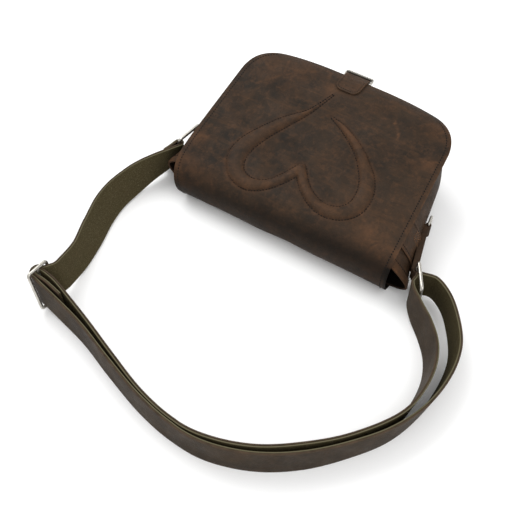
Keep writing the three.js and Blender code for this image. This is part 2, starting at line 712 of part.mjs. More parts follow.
const ROUTE = [
  { x: -151.4, y: -64, z: 3, leanX: 0.12, leanY: -0.02 },
  { x: -150.9, y: -56, z: 4.4, leanX: 0.2, leanY: -0.03 },
  ...arcRoute(LEFT_RING_FOOT, RING_TURN, 160, -20, 6, RING_LIFT, LEFT_LEAN),
  { x: -146.5, y: -63, z: RING_LIFT, leanX: 0.12, leanY: -0.02 },
  { x: -151, y: -80, z: 4, leanX: -0.06, leanY: 0 },
  { x: -155.5, y: -101, z: 1, leanX: -0.33, leanY: 0 },
  { x: -158.8, y: -127, z: 0, leanX: -0.45, leanY: 0 },
  { x: -157, y: -150, z: 0, leanX: -0.5, leanY: 0 },
  { x: -150, y: -181, z: 0, leanX: -0.46, leanY: 0 },
  { x: -146, y: -207, z: 0, leanX: -0.3, leanY: 0 },
  { x: -143.5, y: -231, z: 3.5, leanX: -0.3, leanY: 0.06 },
  { x: -143.2, y: -246, z: SLIDER_LIFT, ...SLIDER_LEAN },
  ...arcRoute(SLIDER, WRAP_TURN, 84, 276, 7, SLIDER_LIFT, SLIDER_LEAN),
  { x: -142, y: -269.2, z: SLIDER_LIFT, ...SLIDER_LEAN },
  { x: -127, y: -272, z: 3, leanX: -0.18, leanY: 0.12 },
  { x: -94, y: -280, z: 0, leanX: -0.05, leanY: 0.08 },
  { x: -54, y: -295, z: 0, leanX: 0.02, leanY: 0.06 },
  { x: -6, y: -311, z: 0, leanX: 0.01, leanY: 0.06 },
  { x: 33, y: -318, z: 0, leanX: 0, leanY: 0.05 },
  { x: 66, y: -317.5, z: 0, leanX: 0, leanY: 0.05 },
  { x: 107, y: -304.5, z: 0, leanX: -0.02, leanY: 0.05 },
  { x: 142, y: -282, z: 0, leanX: 0, leanY: 0.05 },
  { x: 172, y: -251.5, z: 0, leanX: 0.04, leanY: 0.03 },
  { x: 195, y: -220, z: 0, leanX: 0.08, leanY: 0.02 },
  { x: 208, y: -184, z: 0, leanX: 0.16, leanY: 0 },
  { x: 212, y: -150, z: 0, leanX: 0.18, leanY: 0 },
  { x: 209, y: -120, z: 0, leanX: 0.14, leanY: 0.04 },
  { x: 197, y: -95.5, z: 1.5, leanX: 0.08, leanY: 0.05 },
  { x: 181, y: -76, z: 4, leanX: 0.03, leanY: 0.02 },
  { x: 165, y: -67, z: RING_LIFT, leanX: 0, leanY: 0 },
  ...arcRoute(RIGHT_BIGHT, RING_TURN, 80, 205, 5, RING_LIFT),
  { x: 149.6, y: -84, z: RING_LIFT, leanX: 0, leanY: 0 },
  { x: 158.5, y: -97, z: 3, leanX: 0.08, leanY: 0.07 },
  { x: 176, y: -114, z: 0, leanX: 0.15, leanY: 0.12 },
  { x: 189, y: -131, z: 0, leanX: 0.18, leanY: 0.1 },
  { x: 197, y: -152, z: 0, leanX: 0.18, leanY: 0.04 },
  { x: 198.5, y: -178, z: 0, leanX: 0.16, leanY: 0 },
  { x: 194, y: -206, z: 0, leanX: 0.1, leanY: 0.02 },
  { x: 168, y: -246.5, z: 0, leanX: 0.04, leanY: 0.03 },
  { x: 138.5, y: -275.6, z: 0, leanX: 0, leanY: 0.05 },
  { x: 105, y: -298.6, z: 0, leanX: -0.02, leanY: 0.05 },
  { x: 64.5, y: -312.4, z: 0, leanX: 0, leanY: 0.05 },
  { x: 33, y: -314.2, z: 0, leanX: 0, leanY: 0.05 },
  { x: -5, y: -307.4, z: 0, leanX: 0.01, leanY: 0.06 },
  { x: -52, y: -290.2, z: 0, leanX: 0.02, leanY: 0.06 },
  { x: -90, y: -274.6, z: 0, leanX: -0.05, leanY: 0.08 },
  { x: -112, y: -266.6, z: 2, leanX: -0.14, leanY: 0.11 },
  { x: -133.5, y: -259.3, z: SLIDER_LIFT, ...SLIDER_LEAN },
  ...arcRoute(SLIDER, SLIDER_TURN, 84, 276, 6, SLIDER_LIFT, SLIDER_LEAN),
  { x: -137.5, y: -265, z: SLIDER_LIFT, ...SLIDER_LEAN },
  { x: -121.5, y: -267.8, z: 4, leanX: -0.2, leanY: 0.12 },
];

// The strap's stations: feet, leans and the direction of its leather side, close together in the turns.
function strapStations() {
  const feet = new THREE.CatmullRomCurve3(ROUTE.map((p) => new THREE.Vector3(p.x, p.y, p.z)));
  const leans = new THREE.CatmullRomCurve3(ROUTE.map((p) => new THREE.Vector3(p.leanX, p.leanY, 1)));
  const spans = ROUTE.length - 1;
  const stations = [];
  const station = (t) => {
    const foot = feet.getPoint(t);
    const up = leans.getPoint(t).normalize();
    const leatherSide = feet.getTangent(t).cross(up).normalize();
    foot.z = Math.max(0, foot.z) + Math.abs(leatherSide.z) * STRAP_HALF;
    stations.push({ foot, up, leatherSide });
  };
  for (let k = 0; k < spans; k++) {
    const here = new THREE.Vector3(ROUTE[k].x, ROUTE[k].y, ROUTE[k].z);
    const next = new THREE.Vector3(ROUTE[k + 1].x, ROUTE[k + 1].y, ROUTE[k + 1].z);
    const steps = Math.max(1, Math.ceil(here.distanceTo(next) / STRAP.step));
    for (let j = 0; j < steps; j++) station((k + j / steps) / spans);
  }
  station(1);
  return stations;
}

// One ply of the strap, between two distances to the leather side of its middle.
function strapPly(near, far, inset) {
  const stations = strapStations();
  const grid = (over) =>
    stations.map(({ foot, up, leatherSide }) =>
      [inset, STRAP.width - inset].map((height) =>
        foot.clone().addScaledVector(up, height).addScaledVector(leatherSide, over),
      ),
    );
  return wallGeometry(grid(far), grid(near));
}

// The slider: a wire frame with a bar across its middle, leaning with the strap that it holds.
function slider() {
  const length = 2 * SLIDER.pitch;
  const frame = wireGeometry(roundedLoop(length, SLIDER.halfHeight, SLIDER.corner), SLIDER.wire);
  const bar = new THREE.CylinderGeometry(SLIDER.wire, SLIDER.wire, 2 * SLIDER.halfHeight, 8, 1);
  bar.rotateX(Math.PI / 2);
  bar.translate(SLIDER.pitch, 0, 0);
  const mesh = piece("strap_slider", geometryOf(solidOf(frame).add(solidOf(bar))), NICKEL);
  const up = new THREE.Vector3(SLIDER_LEAN.leanX, SLIDER_LEAN.leanY, 1);
  mesh.position.set(SLIDER.x, SLIDER.y, SLIDER_LIFT).addScaledVector(up, SLIDER.middleZ - SLIDER_LIFT);
  up.normalize();
  const along = new THREE.Vector3(0, 1, 0).addScaledVector(up, -up.y).normalize();
  mesh.position.addScaledVector(along, -SLIDER.pitch);
  mesh.quaternion.setFromRotationMatrix(new THREE.Matrix4().makeBasis(along, up.clone().cross(along), up));
  return mesh;
}

function shoulderBag() {
  const bag = new THREE.Group();
  bag.add(piece("back_and_flap", backAndFlap(), BROWN));
  bag.add(piece("front_panel", frontPanel(), BROWN));
  bag.add(piece("gusset", gusset(), BROWN));
  bag.add(piece("closure_chape", chape(), BROWN));
  bag.add(buckle());
  bag.add(piece("closure_strap", closureStrap(), BROWN));
  const mirrored = new THREE.Group();
  mirrored.scale.x = -1;
  mirrored.add(sideFittings("left"));
  bag.add(sideFittings("right"), mirrored);
  const rightEye = strapEyePlace("right");
  bag.add(strapRing("strap_ring_right", rightEye, RIGHT_RING_BAR, RING_TILT.right));
  bag.add(strapRing("strap_ring_left", LEFT_EYE, LEFT_RING_BAR, RING_TILT.left));
  const half = SEAM_GAP / 2;
  bag.add(piece("strap_leather", strapPly(half, half + STRAP.leather, 0), BROWN));
  bag.add(piece("strap_webbing", strapPly(-half - STRAP.webbing, -half, STRAP.webbingInset), OLIVE));
  bag.add(slider());
  return bag;
}

export default shoulderBag();
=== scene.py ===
# %% [markdown]
# # A leather shoulder bag on its back
# The part is a small bag of waxed leather with a corded heart on its flap and a strap of leather and webbing.
# Its solids come from CAD and stay where they are. This lesson makes the pieces that are looked at: leather
# with a grain and worn edges, webbing with a weave, round wires and stitches.
# Blender counts in metres. The sizes below are in millimetres, and MM turns one into the other.

# %% Start
import math

import bpy
import numpy as np
from mathutils import Matrix, Vector, noise


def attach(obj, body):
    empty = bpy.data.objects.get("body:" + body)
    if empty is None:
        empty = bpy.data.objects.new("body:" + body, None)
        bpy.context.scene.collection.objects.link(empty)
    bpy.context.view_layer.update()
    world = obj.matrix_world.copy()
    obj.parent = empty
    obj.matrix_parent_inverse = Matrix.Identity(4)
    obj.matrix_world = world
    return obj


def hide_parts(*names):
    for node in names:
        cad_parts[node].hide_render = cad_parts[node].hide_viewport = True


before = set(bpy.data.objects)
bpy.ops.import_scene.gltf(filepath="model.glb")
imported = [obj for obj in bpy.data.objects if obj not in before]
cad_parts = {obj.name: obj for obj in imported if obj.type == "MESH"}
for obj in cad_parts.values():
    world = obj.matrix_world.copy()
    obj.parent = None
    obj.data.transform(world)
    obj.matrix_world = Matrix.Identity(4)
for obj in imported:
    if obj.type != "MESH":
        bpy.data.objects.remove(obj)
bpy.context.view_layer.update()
MM = 0.001


# %% [markdown]
# ## Helpers that every piece uses
# A sheet of leather starts as Blender's grid, which is already cut into rows and columns. Each of its points
# is then put on the bag by a small formula, so the sheet can be as fine as the picture needs. Solidify gives
# it the thickness of leather, with the cut edge and the rough inside in materials of their own, and Bevel
# takes the sharpness off the cut edge. Sculpting would give softer folds, but it can't be repeated exactly.

# %% Helpers
def lerp(a, b, share):
    return a + (b - a) * share


def clamp(value, low=0.0, high=1.0):
    return min(max(value, low), high)


def bell(away, width):
    """1 in the middle and almost 0 at twice the width, for numbers and arrays."""
    return np.exp(-((away / width) ** 2))


def apply_modifiers(piece):
    bpy.context.view_layer.objects.active = piece
    for modifier in list(piece.modifiers):
        bpy.ops.object.modifier_apply(modifier=modifier.name)


def smooth(piece, degrees=40):
    bpy.ops.object.select_all(action="DESELECT")
    piece.select_set(True)
    bpy.context.view_layer.objects.active = piece
    bpy.ops.object.shade_smooth_by_angle(angle=math.radians(degrees))


def round_rims(piece, width, degrees):
    """Bevels every edge that is bent by more than this angle, after the modifiers that are there already."""
    rim = piece.modifiers.new("rim", "BEVEL")
    rim.width = width * MM
    rim.segments = 2
    rim.limit_method = "ANGLE"
    rim.angle_limit = math.radians(degrees)
    apply_modifiers(piece)


def join_to(main, others):
    bpy.ops.object.select_all(action="DESELECT")
    for piece in (main, *others):
        piece.select_set(True)
    bpy.context.view_layer.objects.active = main
    bpy.ops.object.join()


def grid_sheet(name, rows, columns, place, towards=None, size=(1, 1)):
    """A grid with each point at place(row, column), in mm. size is the UV map's width and length."""
    bpy.ops.object.select_all(action="DESELECT")
    bpy.ops.mesh.primitive_grid_add(x_subdivisions=columns, y_subdivisions=rows, size=2)
    piece = bpy.context.object
    piece.name = piece.data.name = name
    mesh = piece.data
    where = [(round((v.co.y + 1) / 2 * rows), round((v.co.x + 1) / 2 * columns)) for v in mesh.vertices]
    for vertex, (row, column) in zip(mesh.vertices, where):
        vertex.co = Vector(place(row, column)) * MM
    for loop in mesh.loops:
        row, column = where[loop.vertex_index]
        mesh.uv_layers[0].data[loop.index].uv = (size[0] * column / columns, size[1] * row / rows)
    mesh.update()
    if towards is not None:
        middle = mesh.polygons[(rows // 2) * columns + columns // 2]
        if middle.normal.dot(Vector(towards)) < 0:
            bpy.ops.object.mode_set(mode="EDIT")
            bpy.ops.mesh.select_all(action="SELECT")
            bpy.ops.mesh.flip_normals()
            bpy.ops.object.mode_set(mode="OBJECT")
    return piece


def thicken(piece, thick, materials, offset=-1, edge=0.4):
    """Turns a sheet into leather: thickness, a cut edge and an inside, and rounded rims."""
    for material in materials:
        piece.data.materials.append(material)
    solid = piece.modifiers.new("thickness", "SOLIDIFY")
    solid.thickness = thick * MM
    solid.offset = offset
    solid.use_even_offset = True
    if len(materials) == 3:
        solid.material_offset_rim = 1
        solid.material_offset = 2
    round_rims(piece, edge, 55)
    smooth(piece)
    return piece


def spread(piece, name, values):
    """Keeps one number for each point of a sheet, for its material to read."""
    attribute = piece.data.attributes.new(name, "FLOAT", "POINT")
    attribute.data.foreach_set("value", np.asarray(values, dtype=np.float32))


def rim_rub(count, at_rim, inside):
    """How much wear each of a sheet's lines of points has: its first and last more than those between."""
    return [at_rim if k in (0, count) else inside for k in range(count + 1)]


def belongs(piece, body, slot, *nodes):
    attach(piece, body)
    if nodes:
        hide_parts(*nodes)
    print(f"{piece.name}: {len(piece.data.polygons)} faces on {body}")


# %% [markdown]
# ## A curve through given points
# The heart and the strap follow a few points, and a Catmull-Rom curve runs smoothly through all of them.
# Its centripetal form is used here, because it makes no loops where two points lie close together.

# %% Catmull-Rom
def through(points, t):
    """The place at share t of a centripetal Catmull-Rom curve through these points."""
    last = len(points) - 1
    at = clamp(t) * last
    k = min(int(at), last - 1)
    share = at - k
    one, two = points[k], points[k + 1]
    before = points[k - 1] if k > 0 else one * 2 - two
    after = points[k + 2] if k + 2 <= last else two * 2 - one
    middle = (two - one).length ** 0.5
    middle = middle if middle > 1e-2 else 1.0
    start = (one - before).length ** 0.5
    start = start if start > 1e-2 else middle
    end = (after - two).length ** 0.5
    end = end if end > 1e-2 else middle
    leave = ((one - before) / start - (two - before) / (start + middle) + (two - one) / middle) * middle
    reach = ((two - one) / middle - (after - one) / (middle + end) + (after - two) / end) * middle
    square = (two - one) * 3 - leave * 2 - reach
    cube = (one - two) * 2 + leave + reach
    return one + leave * share + square * share**2 + cube * share**3


print("middle of a test curve:", through([Vector((0, 0, 0)), Vector((1, 1, 0)), Vector((2, 0, 0))], 0.5))


# %% [markdown]
# ## Leather
# Waxed leather is never one colour. Wax and oil sit in it in clouds, it goes pale and reddish where it is
# bent or rubbed, and its grain breaks up the shine. The material mixes three browns by noise of different
# sizes. It adds a rubbed colour where one attribute says so: wear, and beside the heart's stitched grooves a
# painted highlight. Where the attribute "shade" says so it adds painted shade, a dark brown. Bump gives it
# pebbled grain and faint creases. A painted texture would do too, but noise on Object coordinates needs no
# unwrapping.

# %% Material helpers
def new_material(name):
    material = bpy.data.materials.new(name)
    material.use_nodes = True
    return material, material.node_tree, material.node_tree.nodes["Principled BSDF"]


def node(tree, kind, inputs=None, **settings):
    made = tree.nodes.new("ShaderNode" + kind)
    for key, value in settings.items():
        setattr(made, key, value)
    for key, value in (inputs or {}).items():
        if isinstance(value, bpy.types.NodeSocket):
            tree.links.new(value, made.inputs[key])
        else:
            made.inputs[key].default_value = value
    return made


def clouds(tree, where, scale, detail=4.0, rough=0.55, twist=0.0):
    inputs = {"Vector": where, "Scale": scale, "Detail": detail, "Roughness": rough, "Distortion": twist}
    return node(tree, "TexNoise", inputs).outputs["Fac"]


def between(tree, value, low, high, to_low=0.0, to_high=1.0):
    inputs = {"Value": value, "From Min": low, "From Max": high, "To Min": to_low, "To Max": to_high}
    return node(tree, "MapRange", inputs, clamp=True).outputs["Result"]


def mixed(tree, share, first, second):
    made = node(tree, "Mix", data_type="RGBA")
    for socket, value in ((made.inputs[0], share), (made.inputs[6], first), (made.inputs[7], second)):
        if isinstance(value, bpy.types.NodeSocket):
            tree.links.new(value, socket)
        else:
            socket.default_value = value
    return made.outputs[2]


def maths(tree, kind, first, second=0.0):
    return node(tree, "Math", {0: first, 1: second}, operation=kind).outputs[0]


def times(tree, first, second):
    return maths(tree, "MULTIPLY", first, second)


def bumped(tree, height, depth, strength, under=None):
    inputs = {"Height": height, "Distance": depth * MM, "Strength": strength}
    if under is not None:
        inputs["Normal"] = under
    return node(tree, "Bump", inputs).outputs["Normal"]


# %% Leather
def leather(name, dark, middle, warm, rubbed_and_lit, shine=0.09, rough=0.58):
    material, tree, skin = new_material(name)
    where = node(tree, "TexCoord").outputs["Object"]
    broad = between(tree, clouds(tree, where, 11, 6, 0.6, 0.8), 0.36, 0.64)
    patches = between(tree, clouds(tree, where, 36, 6, 0.64, 1.2), 0.42, 0.68)
    flecks = between(tree, clouds(tree, where, 190, 5, 0.7), 0.46, 0.74)
    colour = mixed(tree, broad, dark, middle)
    colour = mixed(tree, times(tree, patches, 0.36), colour, warm)
    colour = mixed(tree, times(tree, flecks, 0.5), colour, dark)
    along = node(tree, "Mapping", {"Vector": where, "Rotation": (0.3, 0.2, 0.5), "Scale": (18, 120, 60)})
    smears = between(tree, clouds(tree, along.outputs["Vector"], 1.0, 5, 0.65), 0.54, 0.76, 0.0, 0.6)
    colour = mixed(tree, smears, colour, warm)
    scuffs = between(tree, clouds(tree, where, 150, 8, 0.72, 0.2), 0.5, 0.74, 0.0, 0.3)
    colour = mixed(tree, scuffs, colour, rubbed_and_lit)
    # This attribute holds wear and, beside the heart's stitched grooves, a painted highlight.
    wear_and_highlight = node(tree, "Attribute", attribute_name="wear_and_highlight").outputs["Fac"]
    patchy = between(tree, clouds(tree, where, 85, 6, 0.65, 0.6), 0.36, 0.62, 0.2, 1.0)
    worn_and_lit = times(tree, wear_and_highlight, patchy)
    colour = mixed(tree, worn_and_lit, colour, rubbed_and_lit)
    # The shade attribute mixes in painted shade, a brown darker than the darkest leather.
    shade = node(tree, "Attribute", attribute_name="shade").outputs["Fac"]
    colour = mixed(tree, shade, colour, tuple(0.4 * c for c in dark[:3]) + (1,))
    tree.links.new(colour, skin.inputs["Base Color"])
    pebbles = node(tree, "TexVoronoi", {"Vector": where, "Scale": 900.0, "Randomness": 1.0})
    grain = clouds(tree, where, 1500, 3, 0.6)
    creases = between(tree, clouds(tree, where, 170, 5, 0.7, 2.2), 0.42, 0.56)
    normal = bumped(tree, creases, 0.2, 0.4)
    normal = bumped(tree, pebbles.outputs["Distance"], 0.12, 0.3, normal)
    normal = bumped(tree, grain, 0.06, 0.4, normal)
    tree.links.new(normal, skin.inputs["Normal"])
    dull = between(tree, clouds(tree, where, 40, 5, 0.6), 0.3, 0.7, rough - 0.08, rough + 0.12)
    tree.links.new(maths(tree, "ADD", dull, times(tree, worn_and_lit, 0.1)), skin.inputs["Roughness"])
    skin.inputs["Specular IOR Level"].default_value = shine
    return material


BODY = leather(
    "waxed_leather", (0.0148, 0.0112, 0.0082, 1), (0.0365, 0.0232, 0.0147, 1), (0.066, 0.033, 0.016, 1),
    (0.125, 0.058, 0.027, 1),
)
EDGE = leather(
    "cut_edge", (0.024, 0.0145, 0.0092, 1), (0.044, 0.026, 0.0158, 1), (0.068, 0.037, 0.021, 1),
    (0.085, 0.045, 0.025, 1), 0.1, 0.75,
)
FLESH = leather(
    "flesh_side", (0.010, 0.0075, 0.006, 1), (0.017, 0.012, 0.009, 1), (0.026, 0.016, 0.010, 1),
    (0.026, 0.016, 0.010, 1), 0.06, 0.85,
)
print("leathers:", [m.name for m in (BODY, EDGE, FLESH)])


# %% [markdown]
# ## Back, fold and flap
# On the real bag one long piece of leather is the back, turns over the mouth in a wide fold and lies on top
# as the flap. Seen from the side it is two straight lines and two arcs, so its place is found by walking
# along it: so far along the back, so far round the fold, so far up the flap.
# Across it, the leather drops a little towards its sides, and its corners are round.

# %% The sheet's side view
LEATHER = 2.2
BACK_END_Y, BACK_CORNER, BACK_HALF_WIDTH = 85.5, 47.5, 114.5
FOLD_Y, FOLD_RADIUS, FOLD_HALF_WIDTH = -63, 28, 125
FLAP_RISE, FLAP_CORNER, FLAP_END_HALF_WIDTH, FLAP_SKEW = math.radians(11.3), 46, 119, 0.018
DROOP_START_Y, DROOP_RADIUS, DROOP_TURN = 60, 60, math.radians(31.3)
CROWN = 4
PINCH_DEPTH, PINCH_AT, PINCH_TO_BACK, PINCH_TO_FLAP = 11, 0.25, 20, 45
BACK_LENGTH = BACK_END_Y - FOLD_Y
FOLD_LENGTH = FOLD_RADIUS * (math.pi - FLAP_RISE)
FOLD_END = BACK_LENGTH + FOLD_LENGTH
FLAP_LENGTH = (DROOP_START_Y - FOLD_Y + FOLD_RADIUS * math.sin(FLAP_RISE)) / math.cos(FLAP_RISE)
STRETCHES = [
    (BACK_LENGTH, 0),
    (FOLD_LENGTH, FLAP_RISE - math.pi),
    (FLAP_LENGTH, 0),
    (DROOP_RADIUS * DROOP_TURN, -DROOP_TURN),
]
SHEET_LENGTH = sum(length for length, turn in STRETCHES)


def walk(distance):
    """y, z and heading of the sheet's outside at a distance from the back's bottom edge."""
    y, z, heading, left = BACK_END_Y, 0.0, math.pi, distance
    for length, turn in STRETCHES:
        go = min(left, length)
        if turn == 0:
            y += go * math.cos(heading)
            z += go * math.sin(heading)
        else:
            bend = turn / length
            end = heading + bend * go
            y += (math.sin(end) - math.sin(heading)) / bend
            z += (math.cos(heading) - math.cos(end)) / bend
            heading = end
        left -= go
        if left <= 0:
            break
    return y, z, heading


print("sheet length, mm:", round(SHEET_LENGTH, 1))


# %% The sheet's width and its points
def sheet_normal(heading):
    return Vector((0, -math.sin(heading), math.cos(heading)))


def corner_cut(from_end, radius):
    inside = clamp(radius - from_end, 0, radius)
    return radius - math.sqrt(radius**2 - inside**2)


def sheet_half(distance):
    if distance < BACK_LENGTH:
        half = lerp(BACK_HALF_WIDTH, FOLD_HALF_WIDTH, distance / BACK_LENGTH)
        return half - corner_cut(distance, BACK_CORNER)
    along = clamp((distance - FOLD_END) / (SHEET_LENGTH - FOLD_END))
    half = lerp(FOLD_HALF_WIDTH, FLAP_END_HALF_WIDTH, along)
    return half - corner_cut(SHEET_LENGTH - distance, FLAP_CORNER)


def crown(share):
    return CROWN * share**4


def left_pinch(distance):
    off = distance - BACK_LENGTH - PINCH_AT * FOLD_LENGTH
    return PINCH_DEPTH * bell(off, PINCH_TO_BACK if off < 0 else PINCH_TO_FLAP)


def on_sheet(distance, share, over=0.0):
    y, z, heading = walk(distance)
    rounded = clamp((distance - BACK_LENGTH) / FOLD_LENGTH)
    along = clamp((distance - FOLD_END) / (SHEET_LENGTH - FOLD_END))
    x = share * (sheet_half(distance) - (left_pinch(distance) if share < 0 else 0))
    outside = Vector((x, y - FLAP_SKEW * x * along, z - crown(share) * rounded))
    return outside + sheet_normal(heading) * over


def flap_distance(y):
    near, far = FOLD_END - FOLD_LENGTH / 4, SHEET_LENGTH
    for _ in range(30):
        middle = (near + far) / 2
        near, far = (middle, far) if walk(middle)[0] < y else (near, middle)
    return near


def flap_height(y):
    """The height of the flap's outside along its middle."""
    return on_sheet(flap_distance(y), 0).z


print("flap end, mm:", [round(c, 1) for c in on_sheet(SHEET_LENGTH, 0)])


# %% [markdown]
# ## The corded heart
# A cord under the leather is stitched in along both its sides, and stands out as a heart with an open tip.
# A separate tube would look laid on, so the heart is pressed into the sheet itself: every point near the
# line is lifted, and a narrow groove runs where the stitches pull the leather down.

# %% The heart's line
HEART_HEIGHT, GROOVE_DEPTH = 3.0, 0.65
HEART_LEFT = [
    (-14, 58, 0.6), (-27, 29, 2.5), (-42, 9, 6), (-57, -15, 8), (-65.5, -34, 9.5), (-66, -51, 9.5),
    (-58, -65, 8.2), (-44, -70.5, 7), (-31, -68.5, 6), (-20, -61.5, 5.2), (-10, -49, 5.2), (-1, -33, 5.2),
]
HEART_RIGHT = [
    (-1, -33, 5.2), (9, -46, 5.2), (21, -56, 5.5), (35, -62, 6), (47, -62.5, 6.6), (58, -58.5, 7.3),
    (66, -50, 8), (69, -40, 8.2), (68, -27, 8.2), (62.5, -14, 7.4), (54, -3.5, 6), (43, 8, 5),
    (27, 19.5, 4), (12, 28, 3), (-5, 34, 0.6),
]
HEART_STEPS = 140


def heart_arm(table):
    points = [Vector(row) for row in table]
    return [through(points, k / HEART_STEPS) for k in range(HEART_STEPS + 1)]


ARMS = [heart_arm(HEART_LEFT), heart_arm(HEART_RIGHT)]
HEART = np.array([tuple(p) for arm in ARMS for p in arm])


def heart_place(x, y):
    """How far each place is from the heart's line, and half the line's width there."""
    apart = np.hypot(np.asarray(x)[:, None] - HEART[:, 0], np.asarray(y)[:, None] - HEART[:, 1])
    nearest = np.argmin(apart - HEART[:, 2], axis=1)
    return apart[np.arange(len(nearest)), nearest], HEART[nearest, 2]


def relief(x, y):
    """The height of the cord and the depth of its two stitched grooves, in mm, for arrays of places."""
    away, half = heart_place(x, y)
    cushion = (1 - np.minimum(1, away / half) ** 2.2) ** 0.62
    groove = GROOVE_DEPTH * np.minimum(1, half / 2.5) * bell(away - half, 0.9)
    return HEART_HEIGHT * np.minimum(1, half / 4) * cushion - groove


print("heart relief at the cleft and far off:", relief([-1, 100], [-33, 40]).round(2))


# %% [markdown]
# ## Sewing the sheet's grid
# The rows lie close together on the flap, where the heart is, and round the corners. The leather also gets
# slow, shallow waves, as hide that has been bent and carried has. Two attributes go with the points. One is
# wear, high on edges, on the cord, on scratches and on the fold's crest, with a painted highlight just
# outside the cord's stitched grooves. The other, "shade", is painted shade: in the stitched grooves, over the
# fold's face, in a band along the fold and at the mouth.

# %% Back and flap
COLUMNS = 168
TOP_START = FOLD_END - 36
BACK_STEP, FOLD_STEP, TOP_STEP = 10, 2.4, 1.45
BACK_CORNER_ROWS, FLAP_CORNER_ROWS = 14, 34
SLOW_WAVE, SLOW_HEIGHT, QUICK_WAVE, QUICK_HEIGHT = 42, 0.9, 17, 0.22
WAVES_START, WAVES_END = 30, 14


def rows_between(start, end, step):
    count = max(1, round((end - start) / step))
    return [lerp(start, end, k / count) for k in range(count)]


def corner_rows(radius, count):
    return [radius * (1 - math.cos(k * math.pi / 2 / count)) for k in range(count)]


ROWS = corner_rows(BACK_CORNER, BACK_CORNER_ROWS) + rows_between(BACK_CORNER, BACK_LENGTH, BACK_STEP)
ROWS += rows_between(BACK_LENGTH, TOP_START, FOLD_STEP)
ROWS += rows_between(TOP_START, SHEET_LENGTH - FLAP_CORNER, TOP_STEP)
ROWS += [SHEET_LENGTH - d for d in reversed(corner_rows(FLAP_CORNER, FLAP_CORNER_ROWS))]
ROWS = sorted(set(round(d, 4) for d in ROWS))
SHARES = [2 * c / COLUMNS - 1 for c in range(COLUMNS + 1)]


def waves(place):
    slow = noise.noise(place / SLOW_WAVE) * SLOW_HEIGHT
    quick = noise.noise(place / QUICK_WAVE + Vector((7, 3, 1))) * QUICK_HEIGHT
    return slow + quick


def skin_over(distance, share):
    """The wave of the leather at a place: none at the sheet's edges, nor where the back lies on the floor."""
    awake = clamp((distance - BACK_LENGTH) / WAVES_START)
    rim = (1 - abs(share) ** 10) * clamp((SHEET_LENGTH - distance) / WAVES_END)
    return waves(on_sheet(distance, share)) * awake * rim


flat_places = np.array([on_sheet(d, s) for d in ROWS for s in SHARES])
on_top = np.repeat(np.array(ROWS) > TOP_START, COLUMNS + 1)
lifted = np.where(on_top, relief(flat_places[:, 0], flat_places[:, 1]), 0.0)


def sheet_point(row, column):
    over = lifted[row * (COLUMNS + 1) + column] + skin_over(ROWS[row], SHARES[column])
    return on_sheet(ROWS[row], SHARES[column], over)


back_and_flap = grid_sheet(
    "back_and_flap_leather", len(ROWS) - 1, COLUMNS, sheet_point, (0, 0, 1), (0.25, SHEET_LENGTH * MM)
)
print("grid:", len(ROWS), "rows of", COLUMNS + 1, "points")

# %% Wear, painted highlight and painted shade on the sheet
CREST_AT, MOUTH_RIM_END = FOLD_END - 12, FOLD_END - 18
FOLD_BAND_AT, FOLD_FACE_AT = FOLD_END - 26, FOLD_END - 48
# The rub weights are wear, except the one beside the grooves, which is a painted highlight; the shade weights
# are painted shade.
RIDGE_RUB, BESIDE_HIGHLIGHT, CREST_RUB, RIGHT_EDGE_RUB, LEFT_EDGE_RUB = 0.40, 0.32, 0.5, 0.45, 0.15
GROOVE_SHADE, FACE_SHADE, BAND_SHADE, MOUTH_SHADE = 0.35, 0.5, 0.7, 0.85
WORN_PATCHES = [
    (-114, -47, 9, 0.55), (-97, 66, 15, 0.3), (-60, 68, 17, 0.3), (-20, 62, 9, 0.35), (100, 70, 11, 0.4),
    (109, 29, 7, 0.5), (90, -61, 11, 0.3), (105, -68, 10, 0.35),
]
SCRATCHES = [
    (0.8, 1.1, [(57, 55), (62, 51), (66, 46), (68, 39)]),
    (0.4, 1.8, [(-79, 78), (-76, 66), (-75, 56)]),
    (0.35, 1.6, [(-95, 37), (-77, 55), (-54, 72)]),
    (0.5, 1.5, [(102, 29), (111, 33), (118, 36)]),
    (0.4, 2.0, [(74, -50), (91, -61), (102, -72), (112, -80)]),
    (0.5, 1.6, [(-117, -49), (-107, -47)]),
    (0.35, 1.8, [(-32, 84), (-26, 63)]),
]
rows_of = np.repeat(np.array(ROWS), COLUMNS + 1)
share_of = np.tile(np.array(SHARES), len(ROWS))
flat_x, flat_y = flat_places[:, 0], flat_places[:, 1]


def patch_wear():
    """Rubbed patches (x, y, radius, strength) and scratches (strength, width, line) on the flap."""
    wear = np.zeros(len(flat_x))
    for x, y, radius, strength in WORN_PATCHES:
        wear += strength * bell(np.hypot(flat_x - x, flat_y - y), radius)
    for strength, width, line in SCRATCHES:
        for one, two in zip(line, line[1:]):
            ends = np.array(two) - np.array(one)
            part = np.clip(((flat_x - one[0]) * ends[0] + (flat_y - one[1]) * ends[1]) / (ends @ ends), 0, 1)
            off = np.hypot(flat_x - one[0] - part * ends[0], flat_y - one[1] - part * ends[1])
            wear = np.maximum(wear, strength * bell(off, width))
    return wear


away, half = heart_place(flat_x, flat_y)
ridge = np.clip(1 - away / half, 0, 1) ** 0.8 * np.clip(4.5 / half, 0.35, 1)
# Painted shade in the stitched grooves.
groove = bell(away - half, 0.8)
